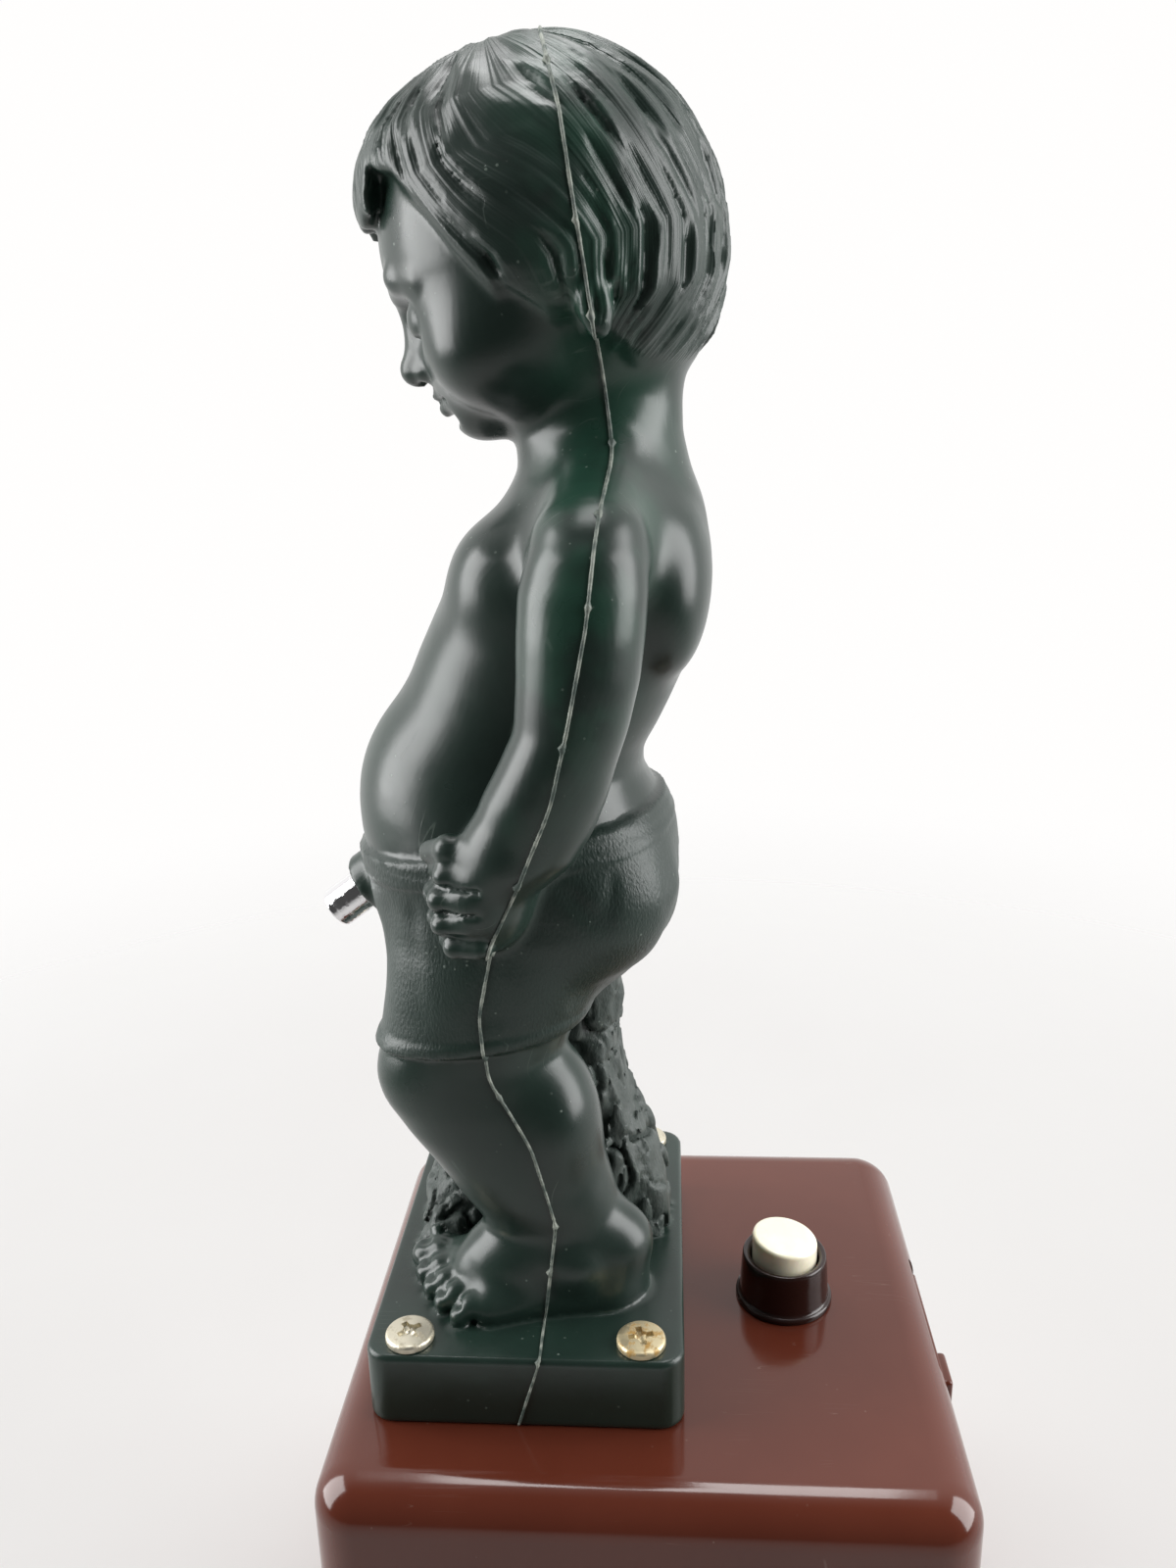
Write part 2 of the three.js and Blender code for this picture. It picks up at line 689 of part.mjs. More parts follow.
function makeDoor() {
  const { halfWidth, head, tongue, tongueTop, pinZ, pin } = DOOR;
  const [inside, outside] = [doorY - 1.25, doorY + 1.25];
  const { left, right, low } = THUMB_TAB;
  const ribs = RIB.lefts.map((x) =>
    block([x, x + RIB.width], [inside - 3, inside + 0.5], [RIB.low, RIB.high]),
  );
  const panel = join(
    block([-halfWidth, halfWidth], [inside, outside], [pinZ, head - GAP]),
    block([-tongue, tongue], [inside, outside], [head - 1, tongueTop]),
    rodX(1.25, -halfWidth, halfWidth, doorY, pinZ, 16),
    block([left, right], [outside - 0.5, outside + 1.4], [low, tongueTop - 0.6]),
    ...ribs,
  );
  place(product, "rear_door", cut(panel, rodX(pin + 0.15, -50, 50, doorY, pinZ, 12)), brownGloss);
  place(product, "door_hinge_pin", rodX(pin, -38.4, 38.4, doorY, pinZ, 10), springSteel);
  const strip = block([CELL.x - 4, CELL.x + 4], [inside - 0.55, inside - REST_GAP], [14, 53]);
  place(product, "door_contact_strip", strip, brass);
}

// ---------------------------------------------------------------- batteries

// A cell along Y, with its raised terminal at the back or at the front.
function cellShape(z, terminalBack) {
  const { radius, length, x, front } = CELL;
  const nub = 1.5;
  const profile = [
    [0, 0],
    [radius - 3, 0],
    [radius, 0.6],
    [radius, length - nub - 0.8],
    [radius - 0.8, length - nub],
    [3.4, length - nub],
    [3.1, length],
    [0, length],
  ];
  const geometry = new THREE.LatheGeometry(
    profile.map(([r, h]) => new THREE.Vector2(r, h)),
    20,
  );
  if (!terminalBack) {
    geometry.rotateZ(Math.PI);
    geometry.translate(0, length, 0);
  }
  geometry.translate(x, front, z);
  return solid(geometry);
}

function makeBatteries() {
  const { left, right, front, back, top, wall } = CRADLE;
  const bottom = plateTop + REST_GAP;
  const cradle = cut(
    block([left, right], [front, back], [bottom, top]),
    block([left + wall, right - wall], [front + wall, back + 1], [bottom + wall, top - wall]),
    block([-18.5, -14.5], [front - 1, front + 3], [CELL.highZ - 2, CELL.highZ + 2]),
    block([-17, -13], [front - 1, front + 3], [CELL.lowZ - 2, CELL.lowZ + 2]),
  );
  place(product, "battery_cradle", cradle, blackPlastic);
  place(product, "battery_lower", cellShape(CELL.lowZ, true), cellJacket);
  place(product, "battery_upper", cellShape(CELL.highZ, false), cellJacket);

  const inside = front + wall;
  const plate = join(
    block(
      [CELL.x - 6, CELL.x + 6],
      [inside + REST_GAP, CELL.front - 0.4],
      [CELL.highZ - 6, CELL.highZ + 6],
    ),
    block([-18, -15], [front - 1, inside + 0.5], [CELL.highZ - 0.4, CELL.highZ + 0.4]),
  );
  place(product, "contact_plate", plate, springSteel);
  const steps = 28;
  const points = [];
  for (let i = 0; i <= steps; i++) {
    const turn = (i / steps) * CELL_SPRING.turns * Math.PI * 2;
    const reach = CELL_SPRING.wide - (CELL_SPRING.wide - CELL_SPRING.narrow) * (i / steps);
    const y = inside + 0.6 + CELL_SPRING.depth * (i / steps);
    points.push([CELL.x + reach * Math.cos(turn), y, CELL.lowZ + reach * Math.sin(turn)]);
  }
  place(product, "contact_spring", tube(points, WIRE.spring, 6, steps), springSteel);
}

// ---------------------------------------------------------------- tank, pump, motor and hoses

function makeTank() {
  const { left, right, front, back, bottom, top, wall } = TANK;
  const [x, y] = [(left + right) / 2, (front + back) / 2];
  const [halfX, halfY] = [(right - left) / 2, (back - front) / 2];
  const stub = (radius, x0) => rodX(radius, x0, left + 3, PUMP.y, PUMP.port, 12);
  const body = join(
    softBlock(halfX, halfY, 4, bottom, top, 2, x, y, 2, 3),
    rodY(NECK.radius, back - 1, back + NECK.length, NECK.x, NECK.z),
    stub(PUMP.inlet, left - 3.4),
  );
  const hollow = join(
    softBlock(halfX - wall, halfY - wall, 2.5, bottom + wall, top - wall, 1, x, y, 1, 2),
    rodY(NECK.bore, back - 3, back + NECK.length + 1, NECK.x, NECK.z),
    stub(HOSE.stub, left - 5),
  );
  place(product, "liquid_tank", cut(body, hollow), clearPoly);

  const mouth = back + NECK.length;
  const cap = cut(
    rodY(10.6, back + 0.8, mouth + 3, NECK.x, NECK.z),
    rodY(NECK.radius + GAP, back, mouth + 1.2, NECK.x, NECK.z),
  );
  const grips = [];
  for (let i = 0; i < 12; i++) {
    const turn = (i / 12) * Math.PI * 2;
    const [gx, gz] = [NECK.x + 10.9 * Math.cos(turn), NECK.z + 10.9 * Math.sin(turn)];
    grips.push(rodY(0.7, back, mouth + 4, gx, gz, 6));
  }
  place(product, "tank_cap", cut(cap, ...grips), whitePlastic);
  const seal = cut(
    rodY(8.4, mouth + REST_GAP, mouth + 1.1, NECK.x, NECK.z, 20),
    rodY(5, mouth - 1, mouth + 2, NECK.x, NECK.z, 20),
  );
  place(product, "cap_seal", seal, blackRubber);
}

function makePump() {
  const { x, y, radius, bottom, top, chamber, port, inlet } = PUMP;
  const inletX = x + radius + 3;
  const outletY = y + radius + 3;
  const body = cut(
    join(
      rod(radius, bottom, top, x, y, 28),
      rodX(inlet, x + 8, inletX, y, port, 12),
      rodY(HOSE.stub, y + 8, outletY, x, port, 12),
    ),
    rod(chamber, bottom + 2, top + 1, x, y, 28),
    rodX(1.4, x, inletX + 1, y, port, 12),
    rodY(0.9, y, outletY + 1, x, port, 10),
  );
  place(product, "pump_body", body, whitePlastic);
  place(product, "pump_cover", washer(1.4, radius, top + GAP, top + 2.6, x, y, 28), whitePlastic);

  const vanes = [rod(2.6, 8.4, 13, x, y, 16)];
  for (let i = 0; i < 3; i++) {
    const vane = new THREE.BoxGeometry(15, 1, 4);
    vane.rotateZ((i / 3) * Math.PI);
    vane.translate(x, y, 10.6);
    vanes.push(solid(vane));
  }
  place(product, "pump_impeller", cut(join(...vanes), rod(1.3, 7, 14, x, y, 12)), whitePlastic);
  const shaft = join(rod(1, 8.6, MOTOR.top - 2.4, x, y, 12), rod(7, 25, 41, x, y, 16));
  place(product, "motor_shaft", shaft, springSteel);

  const can = cut(
    rod(MOTOR.radius, MOTOR.bottom, MOTOR.top, x, y, 28),
    rod(MOTOR.radius - 1, MOTOR.bottom + 1.2, MOTOR.top + 1, x, y, 28),
    rod(1.4, MOTOR.bottom - 1, MOTOR.bottom + 2, x, y, 12),
  );
  place(product, "motor_can", can, springSteel);
  const tab = (dx) => block([x + dx, x + dx + 0.6], [y - 1.5, y + 1.5], [MOTOR.top + 2, MOTOR.top + 6]);
  const cap = join(
    rod(MOTOR.radius, MOTOR.top + REST_GAP, MOTOR.top + 2.4, x, y, 28),
    tab(-6),
    tab(5.4),
  );
  place(product, "motor_end_cap", cap, whitePlastic);

  const clamp = cut(
    join(
      rod(MOTOR.radius + 2.4, 27, 35, x, y, 28),
      block([x - 16, x - 11.4], [y - 4, y + 4], [plateTop + REST_GAP, 35]),
    ),
    rod(MOTOR.radius + GAP, 20, 40, x, y, 28),
    rod(radius + GAP, 0, top + 3, x, y, 28),
  );
  place(product, "motor_clamp", clamp, blackPlastic);
}

function makeHoses() {
  const sleeve = cut(
    rodX(3.8, PUMP.x + PUMP.radius + 0.4, TANK.left - 0.4, PUMP.y, PUMP.port, 16),
    rodX(PUMP.inlet + GAP, PUMP.x, TANK.left + 5, PUMP.y, PUMP.port, 16),
  );
  place(product, "suction_hose", sleeve, clearPoly);

  const { legX } = HOSE;
  const [figureY, figureZ] = [PLINTH.y, BOX.top + PLINTH.height];
  const start = PUMP.y + PUMP.radius + 3.3;
  const route = [
    [PUMP.x, start, PUMP.port],
    [PUMP.x, -13.4, 11.2],
    [PUMP.x, -10.4, 13.8],
    [PUMP.x, -9.6, 19],
    [PUMP.x, -9.4, 30],
    [PUMP.x, -9.4, 50],
    [PUMP.x + 0.8, -9.6, 59],
    [PUMP.x + 7, -10.4, 63.8],
    [-8, -12, 64.2],
    [4, -13.2, 64.2],
    [11.4, -13.4, 65.6],
    [legX, -13.4, 71],
    [legX, -13.4, 82],
    [legX, figureY + 6, figureZ + 6],
    [14.2, figureY + 4, figureZ + 15],
    [13.6, figureY - 1.6, figureZ + 26],
    [12.8, figureY - 6.6, figureZ + 38],
    [12.2, figureY - 6, figureZ + 52],
    [9, figureY - 4, figureZ + 64],
    [3, figureY - 6, figureZ + 75],
    [0, figureY - 11, figureZ + 79.4],
    [0, figureY - 16.2, figureZ + 77],
  ];
  place(product, "delivery_hose", tube(route, HOSE.radius, 8, 44), clearPoly);
}

function makeWires() {
  const [mx, my] = [PUMP.x, PUMP.y];
  const terminal = MOTOR.top + 5;
  const wires = {
    wire_battery_to_motor: [
      [-16.5, -7, CELL.highZ],
      [-15, -12, 48],
      [-18, -16, 55],
      [-22, -25, 57],
      [-30, -30, 56],
      [mx - 7, my, terminal],
    ],
    wire_motor_to_switch: [
      [mx + 7, my, terminal],
      [-12, -24, 57],
      [-4, -16, 58.4],
      [6, -4, 58.4],
      [18, 10, 58.8],
      [21.8, 22, 61],
      [20, BUTTON.y, 62.8],
    ],
    wire_switch_to_battery: [
      [18.9, BUTTON.y + 2, 59.1],
      [21, 20, 58.7],
      [8, 4, 58.2],
      [-3.4, -1, 58],
      [-4.5, -3, 52],
      [-4.5, -4, 30],
      [-7, -6.4, 21],
      [-13, -6.6, 19.6],
      [-15, -4.6, 20],
    ],
  };
  for (const [name, route] of Object.entries(wires)) {
    place(product, name, tube(route, WIRE.lead, 6, 20), name.includes("motor_to") ? blueWire : redWire);
  }
}

makeFigure();
makePlinthScrews();
makeCasing();
makeBottom();
makeButton();
makeSwitch();
makeDoor();
makeBatteries();
makeTank();
makePump();
makeHoses();
makeWires();

export default product;
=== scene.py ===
import math

import bmesh
import bpy
import numpy as np
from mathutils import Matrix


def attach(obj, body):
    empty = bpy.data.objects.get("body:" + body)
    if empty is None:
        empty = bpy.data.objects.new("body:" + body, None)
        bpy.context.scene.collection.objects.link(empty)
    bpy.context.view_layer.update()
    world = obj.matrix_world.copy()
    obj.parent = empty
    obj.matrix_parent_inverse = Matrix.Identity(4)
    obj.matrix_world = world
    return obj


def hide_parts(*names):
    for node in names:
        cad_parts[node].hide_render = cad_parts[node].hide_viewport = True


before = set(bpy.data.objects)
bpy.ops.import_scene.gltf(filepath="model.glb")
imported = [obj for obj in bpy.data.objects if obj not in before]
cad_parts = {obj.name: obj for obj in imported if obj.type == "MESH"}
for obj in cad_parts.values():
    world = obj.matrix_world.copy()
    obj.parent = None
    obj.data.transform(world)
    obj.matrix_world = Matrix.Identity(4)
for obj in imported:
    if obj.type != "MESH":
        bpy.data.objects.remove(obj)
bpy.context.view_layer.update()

import openvdb
from mathutils import Matrix, Vector

MM = 0.001
PLINTH_Z = 85.2  # top of the plinth, mm above the table
PLINTH_Y = -19.4
STEP = 0.5  # grid step of the figure's field, mm
GAP = 0.1  # half of the gap at the parting line, mm


# ---------------------------------------------------------------- the camera, where the photo's was

def place_camera():
    yaw, pitch, roll = (math.radians(a) for a in (3.93, 16.68, -1.36))
    forward = Vector((-math.cos(yaw) * math.cos(pitch), -math.sin(yaw) * math.cos(pitch), -math.sin(pitch)))
    right = forward.cross(Vector((0, 0, 1))).normalized()
    up = right.cross(forward)
    right, up = (math.cos(roll) * right + math.sin(roll) * up, -math.sin(roll) * right + math.cos(roll) * up)
    data = bpy.data.cameras.new("camera")
    data.sensor_fit, data.sensor_height, data.lens = "VERTICAL", 36, 28.125
    data.clip_start, data.clip_end = 0.005, 20
    cam = bpy.data.objects.new("camera", data)
    m = Matrix((right, up, -forward)).transposed().to_4x4()
    m.translation = Vector((0.1936, 0.0044, 0.2296))
    cam.matrix_world = m
    bpy.context.scene.collection.objects.link(cam)
    bpy.context.scene.camera = cam


place_camera()


# ---------------------------------------------------------------- a distance field, in mm

def smin(a, b, k):
    h = np.maximum(k - np.abs(a - b), 0) / k
    return np.minimum(a, b) - h * h * (k * 0.25)


def ramp(x, a, b):
    t = np.clip((x - a) / (b - a), 0, 1)
    return t * t * (3 - 2 * t)


RNG = np.random.RandomState(7)
LATTICE = RNG.rand(32, 32, 32).astype(np.float32)


def noise(x, y, z):
    """Smooth value noise between 0 and 1, with a period of 32 cells."""
    x, y, z = np.broadcast_arrays(x, y, z)
    fx, fy, fz = np.floor(x), np.floor(y), np.floor(z)
    ix, iy, iz = (f.astype(np.int32) % 32 for f in (fx, fy, fz))
    tx, ty, tz = (t * t * (3 - 2 * t) for t in (x - fx, y - fy, z - fz))
    jx, jy, jz = (ix + 1) % 32, (iy + 1) % 32, (iz + 1) % 32
    a = LATTICE[ix, iy, iz] * (1 - tx) + LATTICE[jx, iy, iz] * tx
    b = LATTICE[ix, jy, iz] * (1 - tx) + LATTICE[jx, jy, iz] * tx
    c = LATTICE[ix, iy, jz] * (1 - tx) + LATTICE[jx, iy, jz] * tx
    d = LATTICE[ix, jy, jz] * (1 - tx) + LATTICE[jx, jy, jz] * tx
    return (a * (1 - ty) + b * ty) * (1 - tz) + (c * (1 - ty) + d * ty) * tz


class Field:
    """Distances on a grid. Heights are above the top of the plinth."""

    def __init__(self, low, high, step):
        self.low, self.step = np.array(low, float), step
        shape = np.ceil((np.array(high) - self.low) / step).astype(int) + 1
        self.d = np.full(shape, 9.0, np.float32)

    def part(self, low, high):
        lo = np.maximum(np.floor((np.array(low) - self.low) / self.step).astype(int), 0)
        hi = np.minimum(np.ceil((np.array(high) - self.low) / self.step).astype(int) + 1, self.d.shape)
        where = tuple(slice(a, b) for a, b in zip(lo, hi))
        axes = [self.low[i] + self.step * np.arange(lo[i], hi[i]) for i in range(3)]
        x, y, z = (a.astype(np.float32) for a in axes)
        return where, x[:, None, None], y[None, :, None], z[None, None, :]

    def add(self, shape, k=0.0, margin=8.0):
        fn, low, high = shape
        w, x, y, z = self.part(np.array(low) - margin, np.array(high) + margin)
        d = fn(x, y, z)
        self.d[w] = smin(self.d[w], d, k) if k else np.minimum(self.d[w], d)

    def cut(self, shape, k=0.0, margin=3.0):
        fn, low, high = shape
        w, x, y, z = self.part(np.array(low) - margin, np.array(high) + margin)
        d = -fn(x, y, z)
        self.d[w] = -smin(-self.d[w], -d, k) if k else np.maximum(self.d[w], d)

    def swell(self, fn, low, high):
        """fn(x, y, z, d) is how far the surface moves out."""
        w, x, y, z = self.part(low, high)
        self.d[w] -= fn(x, y, z, self.d[w])


def ellipsoid(centre, radii, axes=None):
    """axes are three unit vectors, or none for X, Y and Z."""
    c, r = np.array(centre, float), np.array(radii, float)
    m = np.eye(3) if axes is None else np.array(axes, float)
    reach = np.sqrt(((m.T * r) ** 2).sum(1))

    def fn(x, y, z):
        dx, dy, dz = x - c[0], y - c[1], z - c[2]
        u = [(dx * m[i, 0] + dy * m[i, 1] + dz * m[i, 2]) for i in range(3)]
        q = np.sqrt(sum((u[i] / r[i]) ** 2 for i in range(3))) + 1e-6
        g = np.sqrt(sum((u[i] / r[i] ** 2) ** 2 for i in range(3))) / q + 1e-6
        return (q - 1) / g

    return fn, c - reach, c + reach


def cone(p, q, r0, r1=None):
    """A round-ended cone from p to q."""
    r1 = r0 if r1 is None else r1
    p, q = np.array(p, float), np.array(q, float)
    v = q - p
    n = float(v @ v)

    def fn(x, y, z):
        dx, dy, dz = x - p[0], y - p[1], z - p[2]
        t = np.clip((dx * v[0] + dy * v[1] + dz * v[2]) / n, 0, 1)
        away = np.sqrt((dx - t * v[0]) ** 2 + (dy - t * v[1]) ** 2 + (dz - t * v[2]) ** 2)
        return away - (r0 + (r1 - r0) * t)

    r = max(r0, r1)
    return fn, np.minimum(p, q) - r, np.maximum(p, q) + r


def smooth_table(rows, blur=3.0):
    """Rows of [height, ...] as a fine table without kinks."""
    rows = np.array(rows, float)
    z = np.arange(rows[0, 0], rows[-1, 0] + 0.25, 0.25)
    cols = [np.interp(z, rows[:, 0], rows[:, i]) for i in range(1, rows.shape[1])]
    width = int(blur / 0.25) | 1
    kernel = np.hanning(width + 2)[1:-1]
    kernel /= kernel.sum()
    out = []
    for c in cols:
        padded = np.concatenate([2 * c[0] - c[width:0:-1], c, 2 * c[-1] - c[-2:-width - 2:-1]])
        out.append(np.convolve(padded, kernel, "same")[width:-width])
    return z, out


def column(rows, side=1, power=2.0, cap=5.0, blur=4.0):
    """Rows of [height, front, back, half width, middle x]: an upright limb."""
    table, (front, back, half, middle) = smooth_table(rows, blur)

    def fn(x, y, z):
        f, b, h, m = (np.interp(z.ravel(), table, c).astype(np.float32)[None, None, :] for c in (front, back, half, middle))
        rx, ry = h, (b - f) / 2
        u, v = np.abs(x - side * m) / rx, np.abs(y - (f + b) / 2) / ry
        q = (u ** power + v ** power) ** (1 / power) + 1e-6
        g = np.sqrt((u / rx) ** 2 + (v / ry) ** 2) / q + 1e-6
        d = (q - 1) / np.maximum(g, 1 / np.maximum(rx, ry))
        ends = np.maximum(table[0] - z, z - table[-1])
        return -smin(-d, -(ends + 0 * d), cap)

    width = max(abs(side * middle).max() + half.max(), 1)
    return fn, (-width, front.min(), table[0]), (width, back.max(), table[-1])


# ---------------------------------------------------------------- the figure

TORSO = [
    [52, -34, -6, 12, 0], [56, -38.5, -2, 17, 0], [62, -42.8, 2, 21, 0], [68, -44.4, 4, 23, 0],
    [73, -45, 5.2, 23.6, 0], [77, -45.4, 5.2, 23.6, 0], [81, -45.8, 4.8, 23.2, 0], [85.6, -45.5, 2.8, 22.4, 0],
    [90, -44.7, 0.2, 21.4, 0], [94, -43.4, 0.8, 20.7, 0], [98, -41.4, 3.2, 20.4, 0], [102, -38.8, 5.2, 20.4, 0],
    [106, -36.8, 7, 20.8, 0], [110, -35, 8.4, 21.4, 0], [114, -33, 9.6, 22.2, 0], [118, -31, 10.6, 23, 0],
    [122, -28.8, 11.2, 23.4, 0], [126, -26.2, 11.2, 22.6, 0], [130, -23, 10.6, 20, 0], [134, -20, 9.2, 15.5, 0],
    [137, -18.4, 8, 12.4, 0], [142, -18.6, 6.8, 11.5, 0], [148, -20, 6.7, 11.8, 0], [154, -20, 5, 11, 0],
]
LEG = [
    [-2, -24.6, 1, 8, 14.6], [1, -24.6, 0.6, 8, 14.6], [5, -24.4, -0.6, 7.9, 14.6], [10, -24.9, -2.2, 8, 14.6],
    [14, -26.8, -3.4, 8.4, 14.4], [20, -31.2, -5, 9.4, 14.2], [26, -35.4, -6.6, 10.1, 13.8],
    [32, -40.2, -7.8, 10.5, 13.4], [37, -42.8, -9.2, 10.8, 13.1], [41, -43.5, -10.8, 10.8, 12.9],
    [45, -42.9, -12.9, 10.9, 12.7], [50, -42.1, -11, 11.3, 12.3], [57, -41.3, -6.8, 12, 11.9],
    [63, -40.7, -2.2, 12.4, 11.5], [68, -39.9, 2.6, 12.2, 11.2], [73, -38, 4.8, 11, 10.8], [78, -35, 2, 9, 10.4],
]
ARM = [
    [80, -27, -11, 6.4, 26.8], [83, -25.4, -9, 7, 27.2], [88, -24.2, -6.2, 7.3, 27.8], [93, -22.2, -4.2, 7.7, 28.3],
    [98, -19.5, -2.8, 7.9, 28.7], [103, -17.1, -1.1, 7.9, 29], [110, -16.5, 0.6, 8.2, 29.2],
    [116, -16.3, 1.4, 8.5, 29], [122, -15.9, 1.9, 8.6, 28.4], [127, -14.5, 1.6, 8.2, 27.2],
    [131, -12.8, 0.2, 7, 25.2], [134, -10, -2, 5, 23],
]
ROCK = [
    [-2, -25, 4.4, 13.5, -6], [0, -24, 4.2, 13, -6], [9, -22, 3.4, 12.4, -6], [17, -21, 1.6, 11.6, -6],
    [23, -20, -1.0, 10.8, -6], [33, -18, -4, 10, -6], [43, -18, -4.4, 9.2, -6], [52, -17, -4.2, 8.4, -5],
    [60, -17, -4.2, 8, -4],
]
SEAM = [
    [-16, -21.4], [0, -16.5], [17.8, -14.3], [32.2, -17.7], [44.3, -24.1], [56, -25], [70.5, -21.8], [79.4, -17.6],
    [93.6, -11.7], [105.8, -8.7], [118.7, -6.1], [131, -4.7], [139, -3.2], [156, -5.3], [168, -7], [181.8, -9.1],
    [191, -11.5], [200, -14],
]
SEAM_Z, (SEAM_Y,) = smooth_table(SEAM, 6.0)

HEAD = np.array([0.0, -12.9, 170.0])
TILT = math.radians(17)
FWD = np.array([0, -math.cos(TILT), -math.sin(TILT)])
UPW = np.array([0, -math.sin(TILT), math.cos(TILT)])
SIDE = np.array([1.0, 0, 0])


def on_head(x, f, u):
    """A point from its place across, forward and up in the head."""
    return HEAD + x * SIDE + f * FWD + u * UPW


def head_ellipsoid(x, f, u, rx, rf, ru):
    return ellipsoid(on_head(x, f, u), (rx, rf, ru), (SIDE, FWD, UPW))


def head_frame(x, y, z):
    dy, dz = y - HEAD[1], z - HEAD[2]
    return x - HEAD[0], dy * FWD[1] + dz * FWD[2], dy * UPW[1] + dz * UPW[2]


SKULL = (22.6, 24.6, 24.6)


def add_head(g):
    g.add(head_ellipsoid(0, 0, 0, *SKULL), 6)
    g.add(head_ellipsoid(0, -9.5, -8, 18.6, 12.6, 15), 6)
    g.add(head_ellipsoid(0, 8, -11.5, 15.6, 13.4, 11.6), 5)
    for s in (-1, 1):
        g.add(head_ellipsoid(s * 10.6, 11.8, -12.4, 8.4, 8.4, 8), 5, 5)
    g.add(head_ellipsoid(0, 14, -15, 8, 8.4, 6), 4, 5)
    g.add(head_ellipsoid(0, 17, -20.4, 4.8, 4.6, 4), 4, 4)
    # eyes, calm and looking down
    for s in (-1, 1):
        g.cut(head_ellipsoid(s * 8.4, 25.4, -6.2, 5.8, 5.6, 4.3), 2.0)
        g.add(head_ellipsoid(s * 8.4, 17.4, -6.8, 4.3, 4.4, 3.9), 0.4, 3)
        lid = head_ellipsoid(s * 8.4, 17.4, -6.5, 4.9, 5.1, 4.5)

        def upper(x, y, z, lid=lid):
            return -smin(-lid[0](x, y, z), head_frame(x, y, z)[2] + 8.2, 0.4)

        g.add((upper, lid[1], lid[2]), 0.4, 3)
        brow = [on_head(s * 4.6, 22.4, -1.4), on_head(s * 9, 21.7, 0.2), on_head(s * 13.8, 18.1, -1.8)]
        g.add(cone(brow[0], brow[1], 0.9, 1.0), 2.4, 4)
        g.add(cone(brow[1], brow[2], 1.0, 0.6), 2.4, 4)
    # nose
    g.add(cone(on_head(0, 21.6, -5), on_head(0, 24.6, -11), 1.6, 2.3), 3, 4)
    g.add(head_ellipsoid(0, 24.9, -11.6, 2.4, 2.3, 2.1), 1.4, 3)
    for s in (-1, 1):
        g.add(head_ellipsoid(s * 2.5, 22.9, -12.2, 1.5, 1.8, 1.5), 1.2, 3)
        g.cut(head_ellipsoid(s * 1.25, 24.2, -13.9, 0.75, 1.1, 0.8), 0.5)
    # mouth
    for s in (-1, 1):
        g.add(cone(on_head(0, 22.6, -15.9), on_head(s * 3.6, 20.9, -16.5), 1.15, 0.6), 0.9, 3)
        g.add(cone(on_head(0, 22.1, -18.1), on_head(s * 3.1, 20.7, -17.5), 1.25, 0.7), 0.9, 3)
        g.cut(cone(on_head(0, 23.6, -17.0), on_head(s * 4.3, 21.4, -16.9), 0.4, 0.35), 0.5)
    g.cut(cone(on_head(0, 23.2, -13.9), on_head(0, 23.6, -14.9), 0.5), 0.8)
    g.cut(cone(on_head(-2.4, 21.4, -20), on_head(2.4, 21.4, -20), 0.6), 1.6)


HAIR_LINE = [
    [-26, -25], [-12.5, -23], [-8, -21], [-2.5, -13.5], [3, -8.5], [8, -7], [11.5, 0.5], [13.5, 5.5], [16.5, 11.5],
    [19.5, 13.5], [22, 10.5], [25, 9.5],
]


def hair_line(f):
    """Height of the hair's lower edge in the head's frame, for a place f forward."""
    return np.interp(f, *np.array(HAIR_LINE, float).T)


def comb(x, y, z):
    """Where a point lies in the combed hair: the turn of its strand, signed by side, and its way down from the crown in mm."""
    hx, f, u = head_frame(x, y, z)
    a, b, c = hx / SKULL[0], f / SKULL[1], u / SKULL[2]
    polar = np.arctan2(np.hypot(a, b), c)
    turn = np.arctan2(np.abs(a), b)
    behind = ramp(turn, 1.2, 2.0)
    to_back = np.interp(polar, [0, 0.3, 1.0, 1.8, 2.1, 2.6], [0, 0, 0.22, 0.42, 0.34, -0.15])
    to_front = np.interp(polar, [0, 0.4, 0.9, 1.2, 1.7, 2.2], [0, 0.0, -0.14, -0.08, 0.2, 0.3])
    strand = turn - (to_front * (1 - behind) + to_back * behind)
    return strand * np.sign(hx + 1e-6), polar * 24.0


def dashes(seed, row_gap, across_gap, length, width):
    """Places of strokes spread over the hair: (turn, way, half length, half width, strength)."""
    rng = np.random.RandomState(seed)
    places = []
    for row in np.arange(9, 60, row_gap):
        reach = 24 * math.sin(min(row / 24.0, 1.57))
        count = max(int(math.tau * reach / across_gap), 4)
        start = rng.uniform(0, 1)
        for i in range(count):
            turn = ((i + start + rng.uniform(-0.35, 0.35)) / count - 0.5) * math.tau
            way = row + rng.uniform(-0.4, 0.4) * row_gap
            places.append((turn, way, rng.uniform(*length), rng.uniform(*width), rng.uniform(0.4, 1.0)))
    return places


